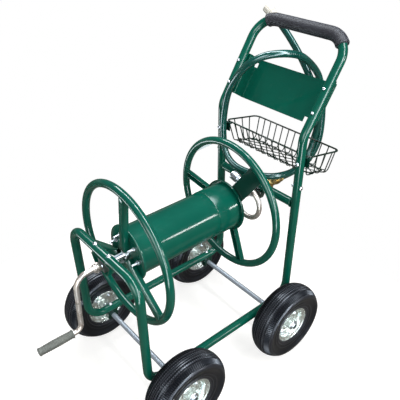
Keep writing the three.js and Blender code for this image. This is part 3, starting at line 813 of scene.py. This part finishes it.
BRACKET_SHEET = 0.003
BASKET_NEAR_X = UPRIGHT_X + TUBE_R + BRACKET_SHEET + 3 * GAP + 0.005 + 0.0015
BASKET_REAR_X = 0.468
BASKET_RIM_HALF = HALF_WIDTH + 0.012
NEAR_RIM_Z = BASKET_BOLT_Z + 0.013
REAR_RIM_Z = NEAR_RIM_Z - 0.027
FLOOR_LEAN = 0.02
FLOOR_INSET = 0.012
BASKET_DEPTH = 0.076
RIM_WIRE = 0.0026
WIRE = 0.0018
WIRE_BEND = 0.014
WIRE_FOOT = 0.019
END_WIRES = 13
SIDE_WIRES = 3
MESH_WIRE = 0.85 * WIRE
MESH_PITCH = 0.05
MESH_SLOPE = 0.74
MESH_LIFT = 1.6 * WIRE


def rim_z(x):
    """Height of the basket's rim at x."""
    share = (x - BASKET_NEAR_X) / (BASKET_REAR_X - BASKET_NEAR_X)
    return NEAR_RIM_Z + (REAR_RIM_Z - NEAR_RIM_Z) * share


def wire_loop(bm, near, rear, half, height, corner, section):
    """A closed wire round the basket; height(x) gives its level."""
    corners = [(x, y, height(x)) for x, y in ((near, half), (rear, half), (rear, -half), (near, -half))]
    sweep(bm, rounded_loop(corners, corner), section, closed=True)


def make_basket():
    """A rim, wires that run down the walls and in, a diamond mesh and a loop on the floor."""
    near, rear, half = BASKET_NEAR_X + RIM_WIRE, BASKET_REAR_X - RIM_WIRE, BASKET_RIM_HALF - RIM_WIRE
    floor_near, floor_rear = near + FLOOR_LEAN, rear - FLOOR_LEAN
    floor_half = half - FLOOR_INSET
    middle = (floor_near + floor_rear) / 2
    fall = rim_z(rear) - rim_z(near)

    def floor_z(x):
        share = (x - floor_near) / (floor_rear - floor_near)
        return rim_z(near) - BASKET_DEPTH + 2 * RIM_WIRE + fall * share

    def wall_wire(x, x_floor, y, y_floor, inward):
        foot = Vector((x_floor, y_floor, floor_z(x_floor)))
        line = [(x, y, rim_z(x)), foot, foot + inward.normalized() * WIRE_FOOT]
        sweep(bm, rounded_path(line, WIRE_BEND, 8), circle(WIRE, 8))

    bm = bmesh.new()
    wire_loop(bm, near, rear, half, rim_z, 0.018, circle(RIM_WIRE, 12))
    for i in range(END_WIRES):
        share = -1 + 2 * i / (END_WIRES - 1)
        for x, x_floor in ((near, floor_near), (rear, floor_rear)):
            inward = Vector((middle - x_floor, 0, floor_z(middle) - floor_z(x_floor)))
            wall_wire(x, x_floor, share * (half - 0.012), share * (floor_half - 0.006), inward)
    for i in range(SIDE_WIRES):
        share = (i + 1) / (SIDE_WIRES + 1)
        x, x_floor = near + (rear - near) * share, floor_near + (floor_rear - floor_near) * share
        for side in (1, -1):
            wall_wire(x, x_floor, side * half, side * floor_half, -Y * side)
    reach = floor_half - 0.004
    run = (floor_rear - floor_near) / MESH_SLOPE
    start = -reach - run
    while start < reach:
        low, high = max(start, -reach), min(start + run, reach)
        if high - low > 0.004:
            spans = [(floor_near + (y - start) * MESH_SLOPE, y) for y in (low, high)]
            for side in (1, -1):
                ends = [Vector((x, y * side, floor_z(x) + MESH_LIFT)) for x, y in spans]
                sweep(bm, ends, circle(MESH_WIRE, 6))
        start += MESH_PITCH
    inset = 0.012
    wire_loop(bm, floor_near + inset, floor_rear - inset, floor_half - inset,
              lambda x: floor_z(x) + MESH_LIFT, 0.012, circle(WIRE, 8))
    stand_in("wire_basket", bm, "basket", "basket_wire", sharp=60)


make_basket()
for name, side in SIDES:
    finish_node(f"basket_bracket_{name}", "dark_paint", 0.0008)
    bolt_node(f"basket_bolt_{name}", (UPRIGHT_X - TUBE_REACH, side * HALF_WIDTH, BASKET_BOLT_Z), -X, BOLT_R,
              0.0065, 2 * TUBE_R + 3 * GAP + BRACKET_SHEET)

# ---- wheels and axles

TREAD_SEGMENTS = 240
NOTCH_DEPTH = 0.0042
GROOVE_DEPTH = 0.004
GROOVE_LIP = 0.0004
RIB = 0.0066
TREAD = ((0.0212, 0.0188, 0.6), (0.0122, 0.01, 0.6), (0.0034, 0.0018, 0.0))
NUT_CIRCLE = 0.035
VALVE_CIRCLE = 0.047


def both_ways(half):
    """A profile and its mirror image across the wheel's middle plane."""
    return half + [(radius, -y, *rest) for radius, y, *rest in reversed(half)]


def crown(y, notch=0.0, lip=0.0):
    """(radius, y, notch depth) on the tread, or with a lip at the foot of a groove's wall."""
    radius = WHEEL_R - 0.0045 * (abs(y) / 0.0225) ** 2.2
    return radius - (GROOVE_DEPTH if lip else 0.0), y + lip, notch


def tyre_profile():
    """(radius, y, notch depth) from the outer bead over the tread to the inner bead."""
    wall = mm((56, 26.2), (60, 29), (62.8, 32.2), (65.2, 33), (67.2, 32.4), (69.2, 32.6), (70.2, 34),
              (71.6, 34.2), (72.6, 33.2), (76, 33.8), (80, 34.6), (81, 35.6), (82, 35.7), (83, 35.2),
              (88, 36), (93, 37.4), (96, 38.9), (99, 40.6), (102, 41.7), (105, 42), (108, 41.5),
              (110.5, 40), (112.4, 38), (113.6, 36.2))
    half = [(radius, y, 0.0) for radius, y in wall] + [(0.1142, 0.0354, 1.0), (0.1164, 0.033, 1.0)]
    half += [crown(0.029, 1.0), crown(0.0222, 1.0), crown(0.0216)]
    for groove, rib, saw in TREAD:
        half += [crown(groove, lip=-GROOVE_LIP), crown(rib, lip=GROOVE_LIP)]
        half += [crown(rib, saw), crown(rib - 0.0016, saw), crown(rib - 0.0018)]
        if saw:
            far = rib - RIB
            half += [crown(far + 0.0018), crown(far + 0.0016, saw), crown(far, saw)]
    return both_ways(half)


def rim_profile():
    """Pressed steel rim: a hub tube, dished discs and rolled flanges."""
    half = [(AXLE_R + 0.0006, HUB_HALF - 0.0015), (0.0092, HUB_HALF), (HUB_R - 0.0008, HUB_HALF),
            (HUB_R, HUB_HALF - 0.0008)]
    half += mm((17, 12.5), (18.2, 10.8), (20, 10), (27, 9.8), (28.5, 10.6), (30, 11), (39.5, 11), (41, 10.4),
               (42.5, 9.8))
    half += arc(0.0425, 0.0148, 0.005, -90, -12, 6)
    half += mm((49.2, 23.5), (50.8, 25.8), (53.5, 27), (56, 27.6), (58, 28.8))
    half += arc(0.06, 0.0292, 0.002, 150, -60, 8)
    return both_ways(half + mm((59.8, 27.2), (56, 26.2), (54, 25.5), (53.8, 23), (53.8, 10)))


def make_wheel(end, name, x, side):
    centre = Vector((x, side * WHEEL_Y, WHEEL_R))
    wheel = f"{end}_wheel_{name}"

    def spot(radius, degrees, y):
        angle = radians(degrees)
        return centre + Vector((radius * cos(angle), y, radius * sin(angle)))

    profile = tyre_profile()
    bm = turned(bmesh.new(), [point[:2] for point in profile], centre, Y, TREAD_SEGMENTS, closed=True,
                ripple=lambda j, k: -NOTCH_DEPTH * profile[j][2] if k % 2 else 0.0)
    stand_in(f"{end}_tyre_{name}_treaded", bm, f"{end}_tyre_{name}", "tyre", sharp=50)
    bm = turned(bmesh.new(), rim_profile(), centre, Y, 96, closed=True)
    stand_in(f"{end}_rim_{name}_pressed", bm, f"{end}_rim_{name}", "rim", sharp=42)

    bm = bmesh.new()
    seals = bmesh.new()
    for out in (Y, -Y):
        for k in range(4):
            at = spot(NUT_CIRCLE, 45 + 90 * k, out.y * 0.011)
            nut(bm, at, out, 0.0052, 0.004, thickness=0.001)
            turned(bm, mm((0, 4), (3, 4), (3, 6.6), (2.4, 7.2), (0, 7.2)), at, out, 12)
        ring = mm((12.2, 0), (12.2, 0.7), (12.6, 1), (14.8, 1), (15.4, 0.4), (15.4, 0))
        turned(seals, ring, centre + out * (HUB_HALF - 0.0003), out, 40, closed=True)
    piece(f"{end}_rim_nuts_{name}_pressed", bm, wheel, "zinc")

    foot = spot(VALVE_CIRCLE, 200, side * 0.01)
    out = (Y * side - (foot - centre).normalized() * 0.25).normalized()
    valve = mm((0, 0), (4.2, 0), (3.6, 4), (3, 9), (3, 13), (3.4, 13.2), (3.4, 20.5), (2.8, 21.5), (0, 21.5))
    piece(f"{end}_valve_{name}_pressed", turned(bmesh.new(), valve, foot, out, 20), wheel, "zinc")
    piece(f"{end}_hub_seals_{name}_pressed", seals, wheel, "zinc")


def make_cap(end, name, x, side):
    """The cap on an axle's end and the dark ring in it."""
    foot = Vector((x, side * WHEEL_Y, WHEEL_R)) + Y * side * (HUB_HALF + GAP)
    cap = mm((8.2, 0), (11.2, 0), (12, 0.6), (12, 1.2), (11.2, 1.8), (10, 2), (9.6, 2.6), (9.6, 5.6),
             (9, 6.2), (8.2, 6.2))
    bm = turned(bmesh.new(), cap, foot, Y * side, 40, closed=True)
    stand_in(f"{end}_axle_cap_{name}_pressed", bm, f"{end}_axle_cap_{name}", "zinc")
    plug = mm((4.2, 6), (7.8, 6), (8.2, 6.4), (8.2, 7.2), (7.8, 7.5), (4.6, 7.5), (4.2, 7.1))
    bm = turned(bmesh.new(), plug, foot, Y * side, 32, closed=True)
    piece(f"{end}_cap_ring_{name}", bm, f"{end}_wheel_{name}", "nylon")


def make_axle(end, x):
    inner = HALF_WIDTH + 0.0125
    outer = WHEEL_Y - HUB_HALF - GAP
    tip = WHEEL_Y + HUB_HALF + 0.005
    half = [(AXLE_R, inner), (0.0105, inner), (0.011, inner + 0.0006), (0.011, outer - 0.0006),
            (0.0105, outer), (AXLE_R, outer), (AXLE_R, tip - 0.001), (AXLE_R - 0.001, tip), (0, tip)]
    bm = turned(bmesh.new(), both_ways(half[::-1]), Vector((x, 0, WHEEL_R)), Y, 32)
    stand_in(f"{end}_axle_rod", bm, f"{end}_axle", "zinc", look="rod")


def make_saddle(end, name, x, side):
    """A saddle welded under the base tube, held by a bolt through the tube."""
    half_y, half_x, low = 0.0115, 0.017, -0.013
    notch = TUBE_R + 0.0005
    spread = asin(half_y / notch) * 180 / pi
    outline = [(-half_y, low), (half_y, low)] + arc(0, AXLE_DROP, notch, spread - 90, -spread - 90, 8)
    bm = prism(bmesh.new(), outline, Vector((x - half_x, side * HALF_WIDTH, WHEEL_R)), 2 * half_x)
    stand_in(f"{end}_axle_saddle_{name}", bm, f"{end}_axle_bracket_{name}", "dark_paint", bevel=0.0014,
             segments=3)
    at = Vector((x, side * HALF_WIDTH, BASE_Z + TUBE_REACH))
    tip = -2 * TUBE_R - 0.004
    bm = turned(bmesh.new(), [(0, 0.001), (BOLT_R, 0.001), (BOLT_R, tip), (0, tip)], at, Z, 16)
    dome(bm, at, Z, 0.0064)
    piece(f"{end}_saddle_bolt_{name}", bm, "frame", "zinc")


for end, x in AXLES:
    make_axle(end, x)
    for name, side in SIDES:
        make_wheel(end, name, x, side)
        make_saddle(end, name, x, side)
        make_cap(end, name, x, side)

# ---- reel

WEB_FROM, WEB_TO = 35, 73.5
SPOKE_SHEET = 0.0022
SPOKE_START = 0.021
FLARE_LENGTH = 0.055
CAP_BOLT_SHIFT = 38
DRUM_JOINT = 0.77
DRUM_STEP = 0.0006
NECK_X = 0.204
NECK_R = 0.0075
NECK_BEND = 0.048
NECK_STRAIGHT = 0.058
NECK_TURN = 192
NECK_ANGLE = 206.6
NECK_RISE = 0.042


def make_ring(end, x):
    """A ring guard; the rear one has a flat web across its upper left."""
    path = [on_axis(x) + outward(2.5 * k, RING_R) for k in range(144)]
    bm = sweep(bmesh.new(), path, circle(RING_TUBE_R, 32), closed=True)
    if end == "rear":
        prism(bm, arc(0, REEL_Z, RING_R - 0.006, WEB_FROM, WEB_TO, 16), X * (x - 0.001), 0.002)
    stand_in(f"{end}_ring_tube", bm, f"{end}_ring", "reel_paint")


def make_spoke(node, x, degrees, ring_x, opening):
    """A channel with rounded corners, open towards the drum and coped to the ring."""
    out = outward(degrees)
    side = X.cross(out)
    wall, back = (SPOKE_WIDTH - SPOKE_SHEET) / 2, (SPOKE_SHEET - SPOKE_DEPTH) / 2 * opening
    lip = SPOKE_DEPTH / 2 * opening
    line = rounded_path([(-wall, lip, 0), (-wall, back, 0), (wall, back, 0), (wall, lip, 0)], 0.0032, 5)
    steps = 16
    bm = bmesh.new()
    grid = []
    for point in line:
        off_ring = x + point.y - ring_x
        room = sqrt(max(0.0, (RING_TUBE_R + GAP) ** 2 - off_ring ** 2))
        end = sqrt(max((RING_R - room) ** 2 - point.x ** 2, 0.0))
        if room == 0.0:
            end = RING_R - 0.6 * RING_TUBE_R
        column = []
        for k in range(steps + 1):
            reach = SPOKE_START + (end - SPOKE_START) * k / steps
            flare = 1 + 0.6 * max(0.0, 1 - (reach - SPOKE_START) / FLARE_LENGTH) ** 1.5
            column.append(bm.verts.new(on_axis(x + point.y) + out * reach + side * (point.x * flare)))
        grid.append(column)
    for here, there in zip(grid, grid[1:]):
        for k in range(steps):
            bm.faces.new((here[k], there[k], there[k + 1], here[k + 1]))
    spoke = stand_in(f"{node}_channel", bm, node, "reel_paint")
    thicken(spoke, SPOKE_SHEET, 0.0005)


def make_drum_cap(end, x, direction):
    """Pressed end cap with a rolled rim, a raised step and a hub flange."""
    bore = (SHAFT_R + GAP) * 1000
    profile = mm((bore, 0), (22.5, 0), (24, 0.4), (60, 0.4), (62.5, 0))
    profile += arc(CAP_R - 0.0022, 0.0022, 0.0022, -90, 0, 5)
    profile += mm((80, 6), (79.4, 7), (78.1, 7), (77.5, 6), (77.5, 3.4), (76.6, 2.5), (bore, 2.5))
    bm = turned(bmesh.new(), profile, on_axis(x), X * direction, 96, closed=True)
    stand_in(f"{end}_cap_pressed", bm, f"{end}_drum_cap", "reel_paint")


def make_drum():
    """Rolled drum in two lengths: the rear one slips over the front one at a thin step."""
    start = FRONT_CAP_X + CAP_SHEET + GAP
    end = REAR_CAP_X - CAP_SHEET - GAP
    joint = start + (end - start) * DRUM_JOINT
    low, high, inside = DRUM_R - DRUM_STEP, DRUM_R + DRUM_STEP, DRUM_R - 0.002
    profile = [(low, start), (low, joint - 0.0004), (DRUM_R + 0.0004, joint), (high, joint + 0.0006),
               (high, end), (inside, end), (inside, start)]
    bm = turned(bmesh.new(), profile, on_axis(), X, 128, closed=True)
    stand_in("drum_shell", bm, "hose_drum", "reel_paint")


def make_cap_bolts(end, x, out, radius, spokes, head, height):
    """Bolts that hold the spokes to a cap; the front ones stand out with their threads."""
    bm = bmesh.new()
    for degrees in spokes:
        for shift in (-CAP_BOLT_SHIFT, CAP_BOLT_SHIFT):
            at = on_axis(x) + outward(degrees + shift, radius)
            nut(bm, at, out, head, height)
            if end == "front":
                turned(bm, mm((0, 0), (3.6, 0), (3.6, 19.2), (2.8, 20), (0, 20)), at, out, 18)
    piece(f"{end}_cap_bolts", bm, "reel", "zinc")


def make_shaft():
    front = CRANK_PIN_X - SOCKET_HALF + 0.0043
    rear = 0.345
    rod = [(0, front), (SHAFT_R - 0.0006, front), (SHAFT_R, front + 0.0008), (SHAFT_R, rear - 0.0008),
           (SHAFT_R - 0.0008, rear), (0, rear)]
    bm = turned(bmesh.new(), rod, on_axis(), X, 40)
    stand_in("reel_shaft_rod", bm, "reel_shaft", "zinc")
    bm = bmesh.new()
    collar = mm((8, 0), (13.5, 0), (14.2, 0.6), (14.2, 8.5), (13.5, 9.2), (8, 9.2))
    for x, direction in ((HOOP_X + HANGER_DEPTH / 2 + 0.003, 1), (FRONT_CAP_X - 0.0005, -1),
                         (UPRIGHT_X - HANGER_DEPTH / 2 - 0.003, -1), (REAR_CAP_X + 0.0005, 1)):
        turned(bm, collar, on_axis(x), X * direction, 36, closed=True)
    piece("shaft_collars", bm, "reel", "zinc")


def make_gooseneck():
    """The outlet pipe, bent back over itself, and the knurled coupling at its end."""
    hub = on_axis(NECK_X)
    centre = hub + outward(NECK_ANGLE, NECK_RISE) + outward(NECK_ANGLE - 90, NECK_BEND)
    path = [hub + outward(NECK_ANGLE, SHAFT_R + GAP), hub + outward(NECK_ANGLE, 0.03)]
    path += [centre + outward(NECK_ANGLE + 90 - NECK_TURN * i / 48, NECK_BEND) for i in range(49)]
    heading = outward(NECK_ANGLE - NECK_TURN)
    end = path[-1] + heading * NECK_STRAIGHT
    bm = sweep(bmesh.new(), path + [end], circle(NECK_R, 32))
    stand_in("gooseneck_pipe", bm, "gooseneck", "chrome")

    bore = (NECK_R + GAP) * 1000
    profile = mm((bore, -12), (10, -12), (10.5, -11.2), (10.5, 11), (11.2, 12.8), (14, 14.2), (14, 35),
                 (13.4, 36), (11.2, 36), (10.8, 35), (10.8, 18), (bore, 18))
    bm = turned(bmesh.new(), profile, end - heading * 0.014, heading, closed=True,
                ripple=knurl(0.0007, 5, 6))
    stand_in("outlet_coupling_knurled", bm, "outlet_coupling", "zinc", sharp=30)


make_ring("front", FRONT_RING_X)
make_ring("rear", REAR_RING_X)
for i, degrees in enumerate(FRONT_SPOKES):
    make_spoke(f"front_spoke_{i + 1}", FRONT_CAP_X - GAP - SPOKE_DEPTH / 2, degrees, FRONT_RING_X, 1)
for i, degrees in enumerate(REAR_SPOKES):
    make_spoke(f"rear_spoke_{i + 1}", REAR_CAP_X + GAP + SPOKE_DEPTH / 2, degrees, REAR_RING_X, -1)
finish_node("outlet_plate", "dark_paint", 0.0006)
make_drum_cap("front", FRONT_CAP_X, 1)
make_drum_cap("rear", REAR_CAP_X, -1)
make_drum()
make_cap_bolts("front", FRONT_CAP_X, -X, 0.052, FRONT_SPOKES, 0.0052, 0.004)
make_cap_bolts("rear", REAR_CAP_X, X, 0.05, REAR_SPOKES, 0.0054, 0.0042)
make_shaft()
make_gooseneck()

# ---- crank and swivel

GRIP_RIBS = 13


def make_crank():
    low = REEL_Z - CRANK_THROW
    corners = [(CRANK_PIN_X - SOCKET_HALF + 0.001, 0, REEL_Z), (-0.335, 0, REEL_Z), (-0.345, 0, low),
               (CRANK_END_X + 0.006, 0, low)]
    bm = sweep(bmesh.new(), rounded_path(corners, [0.038, 0.02], 16), circle(CRANK_ROD_R, 32))
    bore = (SHAFT_R + GAP) * 1000
    socket = mm((6, -10), (10.7, -10), (11.5, -9.2), (11.5, 9.2), (10.7, 10), (bore, 10), (bore, -4),
                (6, -4))
    turned(bm, socket, on_axis(CRANK_PIN_X), X, 40, closed=True)
    bolt(bm, Vector((CRANK_PIN_X, 0, REEL_Z + 0.0105)), Z, 0.003, 0.0055, 0.021)
    stand_in("crank_bent_rod", bm, "crank_arm", "chrome")


def make_crank_grip():
    """A ribbed grip, a little thicker at its middle, in millimetres from its inner end."""
    long = (CRANK_GRIP_X - CRANK_END_X) * 1000
    profile = [(7.4, 0), (10, 0), (11.8, 0.8), (12.2, 2.2), (11.8, 3.6), (10.4, 6)]
    for i in range(GRIP_RIBS):
        share = i / (GRIP_RIBS - 1)
        at = 10 + (long - 22) * share
        body = 10.4 + 0.9 * sin(pi * share)
        profile += [(body, at - 2), (body + 0.6, at - 1.2), (body + 0.6, at + 1.2), (body, at + 2)]
    profile += [(10.6, long - 6), (11.5, long - 4), (11.5, long - 1.6), (10, long), (0, long)]
    at = Vector((CRANK_GRIP_X, 0, REEL_Z - CRANK_THROW))
    bm = turned(bmesh.new(), mm(*profile), at, -X, 40)
    stand_in("crank_grip_ribbed", bm, "crank_grip", "crank_grip", sharp=50)


def make_swivel():
    """A collar on the shaft, two hexagons with a groove between them, and a stub for the hose nut."""
    collar = mm((8.4, 322), (12.6, 322), (13, 322.6), (13, 330.5), (16, 331.8), (0, 331.8))
    hexagons = mm((0, 331.8), (16.8, 331.8), (18, 333.2), (18, 348), (17, 349.6), (15.2, 350), (15.2, 351.2),
                  (17, 351.6), (17.6, 353), (17.6, 364), (16.5, 365.5), (0, 365.5))
    stub = mm((0, 365), (14.8, 365), (12.8, 370), (12.5, 370.6), (12.5, 387), (11.8, 388), (0, 388))
    bm = bmesh.new()
    for profile, segments in ((collar, 40), (hexagons, 6), (stub, 40)):
        turned(bm, profile, on_axis(), X, segments)
    stand_in("inlet_swivel_hex", bm, "inlet_swivel", "brass", sharp=30)


make_crank()
make_crank_grip()
make_swivel()

# ---- studio

SOFT_LEVEL = 0.5
STRIP_X = -0.35
STRIP_LEAN = 0.6
STRIP_HALF = 0.145
STRIP_LEVEL = 14.0
STRIP_COLOUR = (0.86, 0.95, 1.0, 1)
WINDOWS = (((-0.93, -0.3, 0.2), 0.22), ((-0.25, -0.91, 0.33), 0.14))
ROOM = ((0.0, (0.08, 0.07, 0.05, 1)), (0.45, (0.12, 0.11, 0.09, 1)), (0.52, (0.3, 0.3, 0.3, 1)),
        (0.6, (0.09, 0.1, 0.11, 1)), (0.8, (0.09, 0.11, 0.14, 1)), (1.0, (0.16, 0.2, 0.26, 1)))
FLOOR_HALF = 0.8
FLOOR_TONE = (0.52, 0.51, 0.49, 1)
FLOOR_TONE_MIRRORED = (0.15, 0.14, 0.12, 1)
FLOOR_SEEN = 0.7
FLOOR_MIRRORED = 0.05


def make_world():
    """White to the camera, even to soft light, and to mirrors a room with a strip and two patches."""
    world = bpy.data.worlds.new("studio")
    bpy.context.scene.world = world
    n = Nodes(world)
    n.tree.nodes.clear()
    total, rays = n.seen_directly()

    def background(colour, strength):
        return n.add("Background", colour, strength).outputs[0]

    way = n.add("TexCoord").outputs["Generated"]
    x, y, z = n.add("SeparateXYZ", way).outputs
    height = n.math("MULTIPLY_ADD", z, 0.5, 0.5)
    off = n.math("ABSOLUTE", n.math("SUBTRACT", x, n.math("MULTIPLY_ADD", z, STRIP_LEAN, STRIP_X)))
    strip = n.ramp(off, (STRIP_HALF * 0.4, 1), (STRIP_HALF, 0))
    ends = n.ramp(n.math("MULTIPLY_ADD", y, 0.5, 0.5), (0.84, 1), (0.9, 0))
    above = n.ramp(height, (0.22, 0), (0.28, 1))
    bright = n.math("MULTIPLY", n.math("MULTIPLY", strip, ends), above)
    for direction, share in WINDOWS:
        toward = n.add("VectorMath", way, direction, setting=("operation", "DOT_PRODUCT"))
        window = n.ramp(toward.outputs["Value"], (0.9, 0), (0.97, 1))
        bright = n.math("ADD", bright, n.math("MULTIPLY", window, share))
    room = background(n.ramp(height, *ROOM), 1.0)
    lit = background(STRIP_COLOUR, n.math("MULTIPLY", bright, STRIP_LEVEL))
    mirrored_room = n.add("AddShader", room, lit).outputs[0]
    soft = background(n.ramp(height, (0.42, 0.45), (0.55, 1)), SOFT_LEVEL)
    white = background((1, 1, 1, 1), 1)
    shader = n.add("MixShader", total, soft, mirrored_room).outputs[0]
    n.add("OutputWorld", n.add("MixShader", rays["Is Camera Ray"], shader, white).outputs[0])


def make_floor():
    """A pale sheet under the cart, white where no shadow falls and darker to mirrors."""
    bm = bmesh.new()
    bmesh.ops.create_grid(bm, x_segments=2, y_segments=2, size=FLOOR_HALF)
    n = Coat("floor")
    total, rays = n.seen_directly()
    tone = n.ramp(rays["Is Glossy Ray"], (0.0, FLOOR_TONE), (1.0, FLOOR_TONE_MIRRORED))
    seen = n.math("MULTIPLY", rays["Is Camera Ray"], FLOOR_SEEN - FLOOR_MIRRORED)
    glow = n.math("MULTIPLY_ADD", total, FLOOR_MIRRORED, seen)
    n.shade(Base_Color=tone, Roughness=0.9, Specular_IOR_Level=0.0)
    n.shade(Emission_Color=(1, 1, 1, 1), Emission_Strength=glow)
    place_new("floor", mesh_of("floor", bm, "floor"))


def make_lamp(name, at, aim, size, power):
    data = bpy.data.lights.new(name, "AREA")
    data.shape = "RECTANGLE"
    data.size, data.size_y = size
    data.energy = power
    place_new(name, data, at, aim - at)


def make_lights():
    """Lamps on an arch over the cart, a small one low behind its right side, and a wide soft one."""
    aim = Vector((0.05, 0, 0.45))
    for i in range(7):
        angle = radians(50 + 20 * i)
        at = aim + Vector((0.35, cos(angle) * 3.0, sin(angle) * 3.0))
        make_lamp(f"arch_{i}", at, aim, (0.35, 0.8), 14)
    make_lamp("low_right", aim + Vector((0.52, -0.8, 0.28)) * 3.2, aim, (0.85, 0.28), 17)
    make_lamp("fill", Vector((-3.2, -1.2, 2.0)), aim, (1.8, 1.8), 30)


make_world()
make_floor()
make_lights()

scene = bpy.context.scene
scene.view_settings.view_transform = "Standard"
